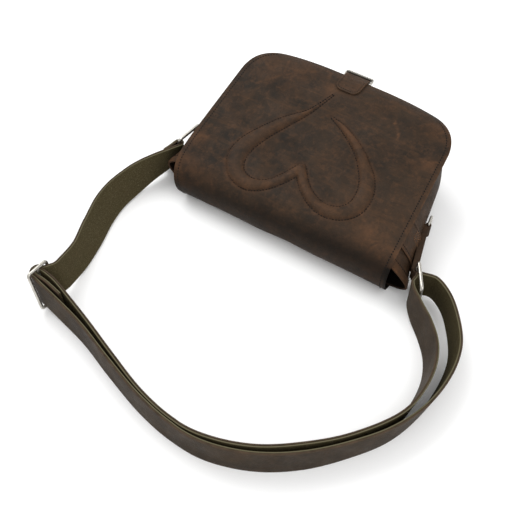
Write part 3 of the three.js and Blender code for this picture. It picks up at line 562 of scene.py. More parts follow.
# A painted highlight on the leather just outside each stitched groove.
beside = bell(away - half, 2.4) * np.clip(half / 4, 0.3, 1)
halves = np.array([sheet_half(d) for d in ROWS]).repeat(COLUMNS + 1)
from_side = halves * (1 - np.abs(share_of))
edge = np.exp(-np.minimum(from_side, SHEET_LENGTH - rows_of) / 1.2)
edge *= np.where(share_of > 0, RIGHT_EDGE_RUB, LEFT_EDGE_RUB)
crest = bell(rows_of - CREST_AT, 13) * np.abs(share_of) ** 3
wear_and_highlight = np.where(on_top, RIDGE_RUB * ridge + BESIDE_HIGHLIGHT * beside + patch_wear(), 0) + edge + CREST_RUB * crest
spread(back_and_flap, "wear_and_highlight", np.clip(wear_and_highlight, 0, 1))
# Painted shade along the fold, where it turns away from the light: a broad darkening of its face and a
# narrower dark band below the crest.
fold_face = bell(rows_of - FOLD_FACE_AT, 24) * np.clip(0.75 - 0.35 * share_of, 0.3, 1)
fold_band = bell(rows_of - FOLD_BAND_AT - 5 * share_of, 10 + 4 * share_of)
fold_band *= np.clip(0.7 + 0.6 * share_of, 0.15, 1)
# Painted shade on the sheet's right rim, from the back up to near the fold's crest, beside the mouth.
mouth_rim = np.exp(-from_side / 2.5) * (rows_of < MOUTH_RIM_END) * (share_of > 0)
shade = np.where(on_top, GROOVE_SHADE * groove, 0) + FACE_SHADE * fold_face
shade += BAND_SHADE * fold_band + MOUTH_SHADE * mouth_rim
spread(back_and_flap, "shade", np.clip(shade, 0, 1))
thicken(back_and_flap, LEATHER, (BODY, EDGE, FLESH))
belongs(back_and_flap, "bag", "body_leather", "back_and_flap")


# %% [markdown]
# ## Front panel and gusset
# Under the flap is the pouch: a front panel, and one long gusset that goes up one side, round the bottom
# and down the other. Its walls belly out, most of all at the mouth, where nothing holds them. The gusset is
# a grid along the seam, with each row bent over the same curve from the back's edge to the front's.

# %% Front panel
POUCH_MOUTH_Y, POUCH_END_Y, POUCH_CORNER = -63, 84, 46
POUCH_MOUTH_HALF, POUCH_END_HALF = 121, 113
FLAP_CLEARANCE, FRONT_MOUTH_Y, FRONT_MARGIN = 3.4, -66, 1.2


def pouch_half(y):
    return lerp(POUCH_MOUTH_HALF, POUCH_END_HALF, (y - POUCH_MOUTH_Y) / (POUCH_END_Y - POUCH_MOUTH_Y))


def front_height(x, y):
    return flap_height(y) - LEATHER - FLAP_CLEARANCE - crown(abs(x) / FOLD_HALF_WIDTH)


FRONT_STEP, FRONT_CORNER_ROWS, FRONT_COLUMNS = 4, 22, 60
front_corner = POUCH_CORNER + FRONT_MARGIN
front_end = POUCH_END_Y + FRONT_MARGIN
front_rows = rows_between(FRONT_MOUTH_Y, front_end - front_corner, FRONT_STEP)
front_rows += [front_end - d for d in reversed(corner_rows(front_corner, FRONT_CORNER_ROWS))]
front_rows = sorted(front_rows)


def front_point(row, column):
    y = front_rows[row]
    half = pouch_half(y) + FRONT_MARGIN - corner_cut(front_end - y, front_corner)
    x = half * (2 * column / FRONT_COLUMNS - 1)
    return x, y, front_height(x, y)


front_panel = grid_sheet("front_panel_leather", len(front_rows) - 1, FRONT_COLUMNS, front_point, (0, 0, 1))
thicken(front_panel, LEATHER, (BODY, EDGE, FLESH))
belongs(front_panel, "bag", "body_leather", "front_panel")

# %% The gusset's curve
BULGE = [(-72, 22.5), (-43, 13.5), (-20, 11.5), (25, 7.6), (56, 4.2), (76, 2)]
BELLY, MOUTH_ZONE, SEAM_GAP = 0.85, 40, 0.3
SIDE_STEP, BOTTOM_STEPS = 2.2, 50
RIGHT_MOUTH = (15, 0.5, 22.5)
LEFT_MOUTH = (11, 1.4, 16.5)


def sag(y):
    return float(np.interp(y, [row[0] for row in BULGE], [row[1] for row in BULGE]))


def back_inside(y):
    """The height of the sheet's inside on the floor, which turns up into the fold past the mouth."""
    past = max(0, FOLD_Y - y)
    return FOLD_RADIUS - math.sqrt((FOLD_RADIUS - LEATHER) ** 2 - past**2)


def gusset_point(seam, out, level, over):
    past_seam, mouth_belly, mouth_out = LEFT_MOUTH if seam.x < 0 else RIGHT_MOUTH
    near_mouth = clamp((POUCH_MOUTH_Y + MOUTH_ZONE - seam.y) / MOUTH_ZONE)
    belly = lerp(BELLY, mouth_belly, near_mouth**2)
    widest = lerp(sag(seam.y), mouth_out, near_mouth**6)

    def bulge(v):
        return widest * math.sin(math.pi * v**belly)

    y = seam.y - past_seam * near_mouth**2
    foot = back_inside(y) + SEAM_GAP + 0.2 * near_mouth
    head = front_height(seam.x, y) - LEATHER - SEAM_GAP
    rise = (bulge(min(1, level + 0.01)) - bulge(max(0, level - 0.01))) / 0.02
    slope = math.hypot(rise, head - foot)
    reach = bulge(level) + over * (head - foot) / slope
    z = clamp(lerp(foot, head, level) - over * rise / slope, foot, head)
    return Vector((seam.x + out.x * reach, y + out.y * reach, z))


def seam_path(step):
    """Places on the gusset's seam in plan, each with its outward direction: up one side, round and down."""
    straight_end = POUCH_END_Y - POUCH_CORNER
    side = pouch_half(straight_end)
    middle = side - POUCH_CORNER
    lean = math.atan2(POUCH_MOUTH_HALF - side, straight_end - POUCH_MOUTH_Y)
    right = [(lerp(POUCH_MOUTH_HALF, side, (y - POUCH_MOUTH_Y) / (straight_end - POUCH_MOUTH_Y)), y, lean)
             for y in rows_between(POUCH_MOUTH_Y, straight_end, step)]
    arc = round(POUCH_CORNER * math.pi / 2 / step)
    for k in range(arc + 1):
        turn = k / arc * math.pi / 2
        x, y = middle + POUCH_CORNER * math.cos(turn), straight_end + POUCH_CORNER * math.sin(turn)
        right.append((x, y, turn))
    shares = [k / BOTTOM_STEPS for k in range(1, BOTTOM_STEPS)]
    flat = [(lerp(middle, -middle, share), POUCH_END_Y, math.pi / 2) for share in shares]
    left = [(-x, y, math.pi - turn) for x, y, turn in reversed(right)]
    return [(Vector((x, y, 0)), Vector((math.cos(t), math.sin(t), 0))) for x, y, t in right + flat + left]


SEAM = seam_path(SIDE_STEP)
print("gusset stations:", len(SEAM))

# %% Gusset
LEVELS = 26
HEM, HEM_OVER, HEM_RUB, HEM_SHADE = 6.5, 0.45, 0.7, 0.85


def hem_over(seam):
    """The turned-in hem at the mouth makes the leather a little thicker there."""
    return HEM_OVER * clamp((POUCH_MOUTH_Y + HEM - seam.y) / 0.8)


def gusset_grid_point(row, column):
    seam, out = SEAM[row]
    level = column / LEVELS
    puff = noise.noise(Vector((seam.x / 26, seam.y / 26, level * 2))) * 0.5 * math.sin(math.pi * level)
    return gusset_point(seam, out, level, hem_over(seam) + puff)


gusset = grid_sheet("gusset_leather", len(SEAM) - 1, LEVELS, gusset_grid_point, (0, 1, 0))
near_hem = np.array([math.exp(-(seam.y - POUCH_MOUTH_Y) / 5) for seam, out in SEAM])
upper = np.clip((np.arange(LEVELS + 1) / LEVELS - 0.08) / 0.12, 0, 1)
spread(gusset, "wear_and_highlight", np.outer(HEM_RUB * near_hem, upper).ravel())
# Painted shade low on the gusset's walls near the mouth's hem, which lies in shadow; the upper part gets wear
# instead.
spread(gusset, "shade", np.outer(HEM_SHADE * near_hem, 1 - upper).ravel())
thicken(gusset, LEATHER, (BODY, EDGE, FLESH))
for vertex in gusset.data.vertices:
    vertex.co.z = max(vertex.co.z, (back_inside(vertex.co.y / MM) + 0.05) * MM)
belongs(gusset, "bag", "body_leather", "gusset")


# %% [markdown]
# ## Wires
# The rings, the slider and the buckle's frame are bent from round wire. A plane gives the four corners of
# the loop. Delete, with Only Faces, leaves its outline, and a vertex bevel rounds the corners. As a curve
# with a bevel depth it becomes a wire, which is then made a mesh again.

# %% Nickel and a wire loop
def nickel(name, bright, dull):
    material, tree, metal = new_material(name)
    where = node(tree, "TexCoord").outputs["Object"]
    dirt = between(tree, clouds(tree, where, 160, 5, 0.6), 0.4, 0.75)
    colour = mixed(tree, dirt, bright, dull)
    tree.links.new(colour, metal.inputs["Base Color"])
    rough = between(tree, clouds(tree, where, 420, 4, 0.6), 0.3, 0.7, 0.22, 0.40)
    tree.links.new(rough, metal.inputs["Roughness"])
    tree.links.new(bumped(tree, clouds(tree, where, 900, 3), 0.03, 0.25), metal.inputs["Normal"])
    metal.inputs["Metallic"].default_value = 1.0
    return material


NICKEL = nickel("satin_nickel", (0.50, 0.48, 0.44, 1), (0.32, 0.30, 0.26, 1))
# A darker nickel for the plate under the buckle's ribs: painted shade in the gaps between them.
GAP_SHADE_NICKEL = nickel("gap_shade_nickel", (0.10, 0.09, 0.075, 1), (0.05, 0.045, 0.04, 1))


def round_corners(corners, radius):
    """Bevels the corners of the loop that lie nearest to these places, in edit mode."""
    mesh = bpy.context.object.data
    bpy.ops.mesh.select_all(action="DESELECT")
    bpy.ops.object.mode_set(mode="OBJECT")
    for corner in corners:
        nearest = min(mesh.vertices, key=lambda v: (v.co.xy - Vector(corner) * MM).length)
        nearest.select = True
    bpy.ops.object.mode_set(mode="EDIT")
    bpy.ops.mesh.bevel(offset=radius * MM, segments=10, affect="VERTICES", offset_type="OFFSET")


def wire_loop(name, width, half, wire, near_corner, far_corner):
    """A wire loop from x = 0 to x = width, lying in the XY plane, as a mesh."""
    bpy.ops.object.select_all(action="DESELECT")
    bpy.ops.mesh.primitive_plane_add(size=2)
    piece = bpy.context.object
    piece.name = piece.data.name = name
    for vertex in piece.data.vertices:
        vertex.co = Vector(((vertex.co.x + 1) / 2 * width, vertex.co.y * half, 0)) * MM
    bpy.ops.object.mode_set(mode="EDIT")
    bpy.ops.mesh.select_all(action="SELECT")
    bpy.ops.mesh.delete(type="ONLY_FACE")
    round_corners([(0, half), (0, -half)], near_corner)
    round_corners([(width, half), (width, -half)], far_corner)
    bpy.ops.object.mode_set(mode="OBJECT")
    bpy.ops.object.convert(target="CURVE")
    piece = bpy.context.object
    piece.data.bevel_depth = wire * MM
    piece.data.bevel_resolution = 5
    bpy.ops.object.convert(target="MESH")
    piece = bpy.context.object
    piece.name = piece.data.name = name
    piece.data.materials.clear()
    piece.data.materials.append(NICKEL)
    smooth(piece, 60)
    return piece


def put(piece, matrix):
    """Moves the mesh, and leaves the object at the origin."""
    piece.data.transform(matrix)
    if matrix.determinant() < 0:
        piece.data.flip_normals()
    piece.data.update()
    return piece


def at_mm(x, y, z):
    return Matrix.Translation(Vector((x, y, z)) * MM)


def turned(angle, axis):
    return Matrix.Rotation(angle, 4, axis)


UPRIGHT = turned(math.pi / 2, "X")
print("wire pieces in", NICKEL.name)


# %% [markdown]
# ## Ring keepers
# On each side a folded strip of leather holds two rings, one in an eye at each end: the strap's ring and a
# small spare one. The strip is a cube and two cylinders joined by Boolean modifiers, with two more cylinders
# cut out for the eyes, and its edges are beveled. It is backed towards the wall, so no gap shows behind it.

# %% Where the rings sit
APEX_Z = 23
STRAP_RING_WIRE, STRAP_RING_HALF, STRAP_RING_CORNER = 1.8, 21, 2.5
SIDE_RING_WIRE, SIDE_RING_HALF, SIDE_RING_SHOULDER, SIDE_RING_CORNER = 1.3, 10, 5, 2.5
SIDE_RING_HEADING = math.radians(98)
KEEPER_HEIGHT, KEEPER_LEATHER, KEEPER_INWARDS = 16, 1.5, 0.5
KEEPER_BACKING = {"right": 3.2, "left": 0.8}
WAY = {"right": 1, "left": -1}
STRAP_EYE_AT = {"right": (-64, 0.3), "left": (-21, 1.6)}
SIDE_EYE_Y = {"right": -8, "left": 19}
RING_TILT = {"right": 0.0, "left": math.radians(15)}
RIGHT_RING_BAR = Vector((159.8, -88.5))
LEFT_RING_BAR = Vector((-142.5, -48.5))
STRAP_EYE = STRAP_RING_WIRE + SEAM_GAP
SIDE_EYE = SIDE_RING_WIRE + SEAM_GAP


def side_apex(y, over):
    slope = (pouch_half(y + 1) + sag(y + 1) - pouch_half(y - 1) - sag(y - 1)) / 2
    out = Vector((1, -slope)).normalized()
    return Vector((pouch_half(y) + sag(y), y)) + out * over


def strap_eye_place(side):
    leaning = math.sin(RING_TILT[side]) * KEEPER_HEIGHT / 2
    y, over = STRAP_EYE_AT[side]
    return side_apex(y, STRAP_EYE + KEEPER_LEATHER + over + leaning)


def side_eye_place(side):
    leaning = math.sin(RING_TILT[side]) * KEEPER_HEIGHT / 2
    return side_apex(SIDE_EYE_Y[side], SIDE_EYE + KEEPER_LEATHER + SEAM_GAP + leaning)


print("strap eyes:", [tuple(round(c, 1) for c in strap_eye_place(s)) for s in WAY])


# %% Keepers and rings
def cylinder(radius, height, x):
    bpy.ops.object.select_all(action="DESELECT")
    bpy.ops.mesh.primitive_cylinder_add(vertices=40, radius=radius * MM, depth=height * MM)
    piece = bpy.context.object
    return put(piece, at_mm(x, 0, 0))


def boolean(piece, other, operation):
    modifier = piece.modifiers.new("join", "BOOLEAN")
    modifier.operation = operation
    modifier.solver = "EXACT"
    modifier.object = other
    apply_modifiers(piece)
    bpy.data.objects.remove(other, do_unlink=True)


def keeper(name, length, backing):
    bpy.ops.object.select_all(action="DESELECT")
    bpy.ops.mesh.primitive_cube_add(size=1)
    piece = bpy.context.object
    piece.name = piece.data.name = name
    size = Matrix.Diagonal((length * MM, (2 * KEEPER_LEATHER + backing) * MM, KEEPER_HEIGHT * MM, 1))
    put(piece, at_mm(length / 2, KEEPER_INWARDS + backing / 2, 0) @ size)
    for x, eye in ((0, STRAP_EYE), (length, SIDE_EYE)):
        boolean(piece, cylinder(eye + KEEPER_LEATHER, KEEPER_HEIGHT, x), "UNION")
        boolean(piece, cylinder(eye, 2 * KEEPER_HEIGHT, x), "DIFFERENCE")
    round_rims(piece, 0.4, 60)
    piece.data.materials.append(BODY)
    smooth(piece)
    return piece


for side, way in WAY.items():
    eye = strap_eye_place(side)
    along = side_eye_place(side) - eye
    bearing = math.atan2(along.y, along.x)
    mirror = Matrix.Diagonal((way, 1, 1, 1))
    leaning = at_mm(eye.x, eye.y, APEX_Z) @ turned(bearing, "Z") @ turned(-RING_TILT[side], "X")
    strip = keeper(f"ring_keeper_{side}_leather", along.length, KEEPER_BACKING[side])
    put(strip, mirror @ leaning)
    belongs(strip, "bag", "body_leather", f"ring_keeper_{side}")
    ring = wire_loop(
        f"side_ring_{side}_wire", SIDE_RING_SHOULDER + SIDE_RING_HALF, SIDE_RING_HALF, SIDE_RING_WIRE,
        SIDE_RING_CORNER, SIDE_RING_HALF - 0.01,
    )
    swung = at_mm(along.length, 0, 0) @ turned(SIDE_RING_HEADING - bearing, "Z") @ UPRIGHT
    put(ring, mirror @ leaning @ swung)
    belongs(ring, f"ring_{side}", "hardware", f"side_ring_{side}")

# %% Strap rings
def strap_ring(side, bar, far_bar):
    across = far_bar - bar
    ring = wire_loop(
        f"strap_ring_{side}_wire", across.length, STRAP_RING_HALF, STRAP_RING_WIRE, STRAP_RING_CORNER,
        STRAP_RING_CORNER,
    )
    stand = turned(math.atan2(across.y, across.x), "Z") @ turned(-RING_TILT[side], "X") @ UPRIGHT
    put(ring, at_mm(bar.x, bar.y, APEX_Z) @ stand)
    belongs(ring, "bag", "hardware", f"strap_ring_{side}")


LEFT_EYE = strap_eye_place("left") * Vector((-1, 1))
strap_ring("right", strap_eye_place("right"), RIGHT_RING_BAR)
strap_ring("left", LEFT_EYE, LEFT_RING_BAR)


# %% [markdown]
# ## Side patches
# A strip of thinner leather is sewn over each side wall, under the ring keeper, from the flap's edge down.
# It follows the gusset's own curve, a hair above it.

# %% Side patches
THIN_LEATHER = 1.6
PATCH_WIDTH, PATCH_LOW, PATCH_HIGH, PATCH_OVER = 24, 0.26, 0.97, 0.5
PATCH_ROWS, PATCH_COLUMNS = 24, 30
PATCH_Y = {"right": -50, "left": -23}
SIDE_LEAN = math.atan2(POUCH_MOUTH_HALF - POUCH_END_HALF, POUCH_END_Y - POUCH_MOUTH_Y)


def on_side(side, y, level, over):
    out = Vector((WAY[side] * math.cos(SIDE_LEAN), math.sin(SIDE_LEAN), 0))
    return gusset_point(Vector((WAY[side] * pouch_half(y), y, 0)), out, level, over)


for side, way in WAY.items():
    def patch_point(row, column, side=side):
        y = PATCH_Y[side] + PATCH_WIDTH * row / PATCH_ROWS
        level = lerp(PATCH_LOW, PATCH_HIGH, column / PATCH_COLUMNS)
        return on_side(side, y, level, PATCH_OVER + THIN_LEATHER)

    patch = grid_sheet(f"side_patch_{side}_leather", PATCH_ROWS, PATCH_COLUMNS, patch_point, (way, 0, 0))
    spread(patch, "wear_and_highlight", np.repeat(rim_rub(PATCH_ROWS, 0.6, 0.1), PATCH_COLUMNS + 1))
    thicken(patch, THIN_LEATHER, (BODY, EDGE, FLESH))
    belongs(patch, "bag", "body_leather", f"side_patch_{side}")


# %% [markdown]
# ## The closure
# A leather chape lies on the flap's end, turns round the buckle's bar and comes back underneath. The buckle
# shows a ribbed plate past the fold, and a short strap comes up to it from the bottom of the bag.
# Chape and strap are bands: a line seen from the side, as wide as the leather.

# %% Chape
CLOSURE_X = -5
CHAPE_HALF, CHAPE_CORNER, CHAPE_THICK, CHAPE_ON_FLAP, CHAPE_UNDER = 13.5, 8, 2, 27, 20
BUCKLE_WIRE, BUCKLE_REACH, BUCKLE_CORNER = 1.4, 6.8, 1.5
PLATE_DEPTH, PLATE_THICK, PLATE_TILT = 5.2, 2.4, math.radians(30)
BUCKLE_PAST_FLAP = 2.2
BAND_COLUMNS, CHAPE_CORNER_ROWS, CHAPE_TURN_ROWS = 18, 10, 16
end_y, end_z, end_heading = walk(SHEET_LENGTH)
end_along = Vector((0, math.cos(end_heading), math.sin(end_heading)))
flap_middle = Vector((CLOSURE_X, end_y, end_z)) - sheet_normal(end_heading) * LEATHER / 2
BUCKLE_BAR = flap_middle + end_along * BUCKLE_PAST_FLAP


def band(name, line, thick):
    """line holds (middle point, half width) pairs."""
    def place(row, column):
        middle, half = line[row]
        return middle + Vector((half * (2 * column / BAND_COLUMNS - 1), 0, 0))

    piece = grid_sheet(name, len(line) - 1, BAND_COLUMNS, place)
    spread(piece, "wear_and_highlight", rim_rub(BAND_COLUMNS, 0.3, 0.12) * len(line))
    return thicken(piece, thick, (BODY, EDGE, BODY), 0)


def chape_line():
    over = SEAM_GAP + CHAPE_THICK / 2

    def beside_flap(from_end, lift):
        y, z, heading = walk(SHEET_LENGTH - from_end)
        return Vector((CLOSURE_X, y, z)) + sheet_normal(heading) * lift

    line = []
    for inner in corner_rows(CHAPE_CORNER, CHAPE_CORNER_ROWS):
        line.append((beside_flap(CHAPE_ON_FLAP - inner, over), CHAPE_HALF - corner_cut(inner, CHAPE_CORNER)))
    line += [(beside_flap(d, over), CHAPE_HALF) for d in range(CHAPE_ON_FLAP - CHAPE_CORNER, 2, -2)]
    up = end_heading + math.pi / 2
    radius = BUCKLE_WIRE + SEAM_GAP + CHAPE_THICK / 2
    for k in range(CHAPE_TURN_ROWS + 1):
        turn = up - math.pi * k / CHAPE_TURN_ROWS
        line.append((BUCKLE_BAR + Vector((0, math.cos(turn), math.sin(turn))) * radius, CHAPE_HALF))
    return line + [(beside_flap(d, -LEATHER - over), CHAPE_HALF) for d in range(4, CHAPE_UNDER + 1, 2)]


chape = band("closure_chape_leather", chape_line(), CHAPE_THICK)
belongs(chape, "bag", "body_leather", "closure_chape")

# %% Closure strap
STRAP_END_HALF, STRAP_END_THICK, STRAP_END_OFF, STRAP_END_ROWS = 11, 2, 0.15, 40
BELOW_PLATE = Vector((0, -5, -9))
PLATE = BUCKLE_BAR + Vector((0, BUCKLE_REACH, 0))
plate_normal = Vector((0, math.sin(PLATE_TILT), math.cos(PLATE_TILT)))


def closure_strap_line():
    seam = Vector((CLOSURE_X, POUCH_END_Y, 0))
    over = SEAM_GAP + STRAP_END_THICK / 2 + STRAP_END_OFF
    wall = [gusset_point(seam, Vector((0, 1, 0)), level, over) for level in (0.1, 0.3, 0.5)]
    end = PLATE - plate_normal * (PLATE_THICK / 2 + SEAM_GAP)
    points = wall + [end + BELOW_PLATE, end]
    return [(through(points, k / STRAP_END_ROWS), STRAP_END_HALF) for k in range(STRAP_END_ROWS + 1)]


closure_strap = band("closure_strap_leather", closure_strap_line(), STRAP_END_THICK)
belongs(closure_strap, "bag", "body_leather", "closure_strap")

# %% Buckle
RIBS, RIB_WIDTH, RIB_THICK, RIB_MARGIN = 15, 1.0, 1.4, 1.4
BUCKLE_HALF = CHAPE_HALF + SEAM_GAP + BUCKLE_WIRE
buckle = wire_loop(
    "closure_buckle_metal", BUCKLE_REACH, BUCKLE_HALF, BUCKLE_WIRE, BUCKLE_CORNER, BUCKLE_CORNER
)
put(buckle, turned(math.pi / 2, "Z"))


def bar(width, depth, thick, x, lift, material):
    bpy.ops.object.select_all(action="DESELECT")
    bpy.ops.mesh.primitive_cube_add(size=1)
    piece = bpy.context.object
    size = Matrix.Diagonal((width * MM, depth * MM, thick * MM, 1))
    put(piece, at_mm(0, BUCKLE_REACH, 0) @ turned(-PLATE_TILT, "X") @ at_mm(x, 0, lift) @ size)
    round_rims(piece, min(0.35, thick / 3), 30)
    piece.data.materials.append(material)
    smooth(piece)
    return piece


# The plate takes the darker nickel, which paints shade between the ribs.
metal = [bar(2 * BUCKLE_HALF, PLATE_DEPTH, PLATE_THICK, 0, 0, GAP_SHADE_NICKEL)]
for rib in range(RIBS):
    x = lerp(RIB_MARGIN - BUCKLE_HALF, BUCKLE_HALF - RIB_MARGIN, rib / (RIBS - 1))
    metal.append(bar(RIB_WIDTH, PLATE_DEPTH - 0.4, RIB_THICK, x, PLATE_THICK / 2, NICKEL))
join_to(buckle, metal)
put(buckle, Matrix.Translation(BUCKLE_BAR * MM))
belongs(buckle, "bag", "hardware", "closure_buckle")


# %% [markdown]
# ## The strap
# The strap is two plies, leather outside and webbing inside, and it stands on its edge on the floor. It
# starts at the left ring, goes down to the slider, doubles back on itself along the floor to the right ring,
# and returns to the slider's middle bar. A curve through its feet gives the route, and a lean at each foot
# says how far the strap tips over. A cloth simulation would let it fall flat, which the real one, with its
# two stiff plies, doesn't.

# %% The strap's route
STRAP_WIDTH, STRAP_LEATHER, STRAP_WEBBING, WEBBING_INSET = 35, 1.4, 1.2, 0.3
SLIDER_PLACE, SLIDER_MIDDLE_Z, SLIDER_LEAN = Vector((-150, -260.5)), 23.6, (-0.3, 0.15)
SLIDER_PITCH, SLIDER_WIRE, SLIDER_HALF, SLIDER_CORNER = 11.8, 1.7, 21, 2.5
RING_LIFT, SLIDER_LIFT = 5, 6.7
RIGHT_BIGHT = Vector((152.3, -73.1))
STRAP_HALF = STRAP_LEATHER + SEAM_GAP / 2
RING_TURN = STRAP_RING_WIRE + SEAM_GAP + STRAP_HALF
SLIDER_TURN = SLIDER_WIRE + SEAM_GAP + STRAP_HALF
WRAP_TURN = SLIDER_TURN + 2 * STRAP_HALF + SEAM_GAP
left_across = (LEFT_EYE - LEFT_RING_BAR).normalized()
LEFT_LEAN = Vector((left_across.y, -left_across.x)) * math.tan(RING_TILT["left"])
LEFT_RING_FOOT = LEFT_RING_BAR - LEFT_LEAN * (APEX_Z - RING_LIFT)


def arc_route(centre, radius, start, end, count, lift, lean=(0, 0)):
    turns = [math.radians(lerp(start, end, k / count)) for k in range(count + 1)]
    return [(centre.x + radius * math.cos(a), centre.y + radius * math.sin(a), lift, *lean) for a in turns]


ROUTE = [(-151.4, -64, 3, 0.12, -0.02), (-150.9, -56, 4.4, 0.2, -0.03)]
ROUTE += arc_route(LEFT_RING_FOOT, RING_TURN, 160, -20, 6, RING_LIFT, LEFT_LEAN)
ROUTE += [
    (-146.5, -63, RING_LIFT, 0.12, -0.02), (-151, -80, 4, -0.06, 0), (-155.5, -101, 1, -0.33, 0),
    (-158.8, -127, 0, -0.45, 0), (-157, -150, 0, -0.5, 0), (-150, -181, 0, -0.46, 0),
    (-146, -207, 0, -0.3, 0), (-143.5, -231, 3.5, -0.3, 0.06), (-143.2, -246, SLIDER_LIFT, *SLIDER_LEAN),
]
ROUTE += arc_route(SLIDER_PLACE, WRAP_TURN, 84, 276, 7, SLIDER_LIFT, SLIDER_LEAN)
ROUTE += [
    (-142, -269.2, SLIDER_LIFT, *SLIDER_LEAN), (-127, -272, 3, -0.18, 0.12), (-94, -280, 0, -0.05, 0.08),
    (-54, -295, 0, 0.02, 0.06), (-6, -311, 0, 0.01, 0.06), (33, -318, 0, 0, 0.05),
    (66, -317.5, 0, 0, 0.05), (107, -304.5, 0, -0.02, 0.05), (142, -282, 0, 0, 0.05),
    (172, -251.5, 0, 0.04, 0.03), (195, -220, 0, 0.08, 0.02), (208, -184, 0, 0.16, 0),
    (212, -150, 0, 0.18, 0), (209, -120, 0, 0.14, 0.04), (197, -95.5, 1.5, 0.08, 0.05),
    (181, -76, 4, 0.03, 0.02), (165, -67, RING_LIFT, 0, 0),
]
ROUTE += arc_route(RIGHT_BIGHT, RING_TURN, 80, 205, 5, RING_LIFT)
ROUTE += [
    (149.6, -84, RING_LIFT, 0, 0), (158.5, -97, 3, 0.08, 0.07), (176, -114, 0, 0.15, 0.12),
    (189, -131, 0, 0.18, 0.1), (197, -152, 0, 0.18, 0.04), (198.5, -178, 0, 0.16, 0),
    (194, -206, 0, 0.1, 0.02), (168, -246.5, 0, 0.04, 0.03), (138.5, -275.6, 0, 0, 0.05),
    (105, -298.6, 0, -0.02, 0.05), (64.5, -312.4, 0, 0, 0.05), (33, -314.2, 0, 0, 0.05),
    (-5, -307.4, 0, 0.01, 0.06), (-52, -290.2, 0, 0.02, 0.06), (-90, -274.6, 0, -0.05, 0.08),
    (-112, -266.6, 2, -0.14, 0.11), (-133.5, -259.3, SLIDER_LIFT, *SLIDER_LEAN),
]
ROUTE += arc_route(SLIDER_PLACE, SLIDER_TURN, 84, 276, 6, SLIDER_LIFT, SLIDER_LEAN)
ROUTE += [(-137.5, -265, SLIDER_LIFT, *SLIDER_LEAN), (-121.5, -267.8, 4, -0.2, 0.12)]
print("route points:", len(ROUTE))


# %% Stations along the strap
FEET = [Vector(p[:3]) for p in ROUTE]
LEANS = [Vector((p[3], p[4], 1)) for p in ROUTE]
STATION_STEP = 3.0


def strap_stations():
    """Foot, upward direction and leather side at each station."""
    spans = len(FEET) - 1
    shares = []
    for k in range(spans):
        steps = max(2, round((FEET[k + 1] - FEET[k]).length / STATION_STEP))
        shares += [(k + j / steps) / spans for j in range(steps)]
    shares.append(1.0)
    stations = []
    for t in shares:
        up = through(LEANS, t).normalized()
        ahead = through(FEET, min(1, t + 1e-5)) - through(FEET, max(0, t - 1e-5))
        side = ahead.cross(up).normalized()
        foot = through(FEET, t)
        foot.z = max(0, foot.z) + abs(side.z) * STRAP_HALF
        stations.append((foot, up, side))
    return stations


STATIONS = strap_stations()
lengths = [0.0]
for one, two in zip(STATIONS, STATIONS[1:]):
    middle_one, middle_two = (s[0] + s[1] * STRAP_WIDTH / 2 for s in (one, two))
    lengths.append(lengths[-1] + (middle_two - middle_one).length)
STRAP_LENGTH = lengths[-1]
print("strap length, mm:", round(STRAP_LENGTH), "in", len(STATIONS), "stations")


# %% [markdown]
# ## Strap leather and webbing
# The leather ply is greyer than the bag. The webbing is an olive twill: two sets of fine waves on its UV
# map, which is measured in metres along and across the strap, so the ribs follow every bend. Its two woven
# edges, the selvedges, are paler.

# %% Strap materials
STRAP_SKIN = leather(
    "strap_leather", (0.0195, 0.0142, 0.0095, 1), (0.0345, 0.0248, 0.0158, 1), (0.055, 0.034, 0.0195, 1),
    (0.085, 0.056, 0.034, 1), 0.1, 0.6,
)


TWILL_ACROSS, TWILL_ALONG, WARP_ACROSS = 5200.0, 6800.0, 9400.0
SELVEDGE_START, SELVEDGE_FULL = STRAP_WIDTH / 2 - 1.2, STRAP_WIDTH / 2 - 0.5


def webbing_material():
    """The twill's slanted ribs and its warp are sine waves, with their speeds in radians a metre."""
    material, tree, cloth = new_material("olive_webbing")
    flat = node(tree, "UVMap").outputs["UV"]
    part = node(tree, "SeparateXYZ", {"Vector": flat})
    across, along = part.outputs["X"], part.outputs["Y"]
    slanted = maths(tree, "ADD", times(tree, across, TWILL_ACROSS), times(tree, along, TWILL_ALONG))
    twill = between(tree, maths(tree, "SINE", slanted), -1, 1)
    warp = between(tree, maths(tree, "SINE", times(tree, across, WARP_ACROSS)), -1, 1)
    weave = maths(tree, "ADD", times(tree, twill, 0.7), times(tree, warp, 0.3))
    where = node(tree, "TexCoord").outputs["Object"]
    dust = between(tree, clouds(tree, where, 60, 5, 0.6), 0.35, 0.7)
    colour = mixed(tree, weave, (0.025, 0.0197, 0.009, 1), (0.095, 0.077, 0.038, 1))
    colour = mixed(tree, times(tree, dust, 0.35), colour, (0.066, 0.047, 0.024, 1))
    fibres = between(tree, clouds(tree, where, 620, 4, 0.75), 0.36, 0.64)
    colour = mixed(tree, times(tree, fibres, 0.5), colour, (0.030, 0.024, 0.011, 1))
    strays = between(tree, clouds(tree, where, 840, 4, 0.75), 0.52, 0.7)
    colour = mixed(tree, times(tree, strays, 0.5), colour, (0.15, 0.13, 0.075, 1))
    rim = maths(tree, "ABSOLUTE", maths(tree, "SUBTRACT", across, STRAP_WIDTH * MM / 2))
    pale = between(tree, rim, SELVEDGE_START * MM, SELVEDGE_FULL * MM, 0, 0.65)
    colour = mixed(tree, pale, colour, (0.15, 0.135, 0.085, 1))
    tree.links.new(colour, cloth.inputs["Base Color"])
    fuzz = clouds(tree, where, 2200, 3, 0.6)
    normal = bumped(tree, weave, 0.25, 0.5)
    tree.links.new(bumped(tree, fuzz, 0.1, 0.4, normal), cloth.inputs["Normal"])
    cloth.inputs["Roughness"].default_value = 0.92
    cloth.inputs["Specular IOR Level"].default_value = 0.06
    return material


WEBBING = webbing_material()
print("strap materials:", STRAP_SKIN.name, WEBBING.name)

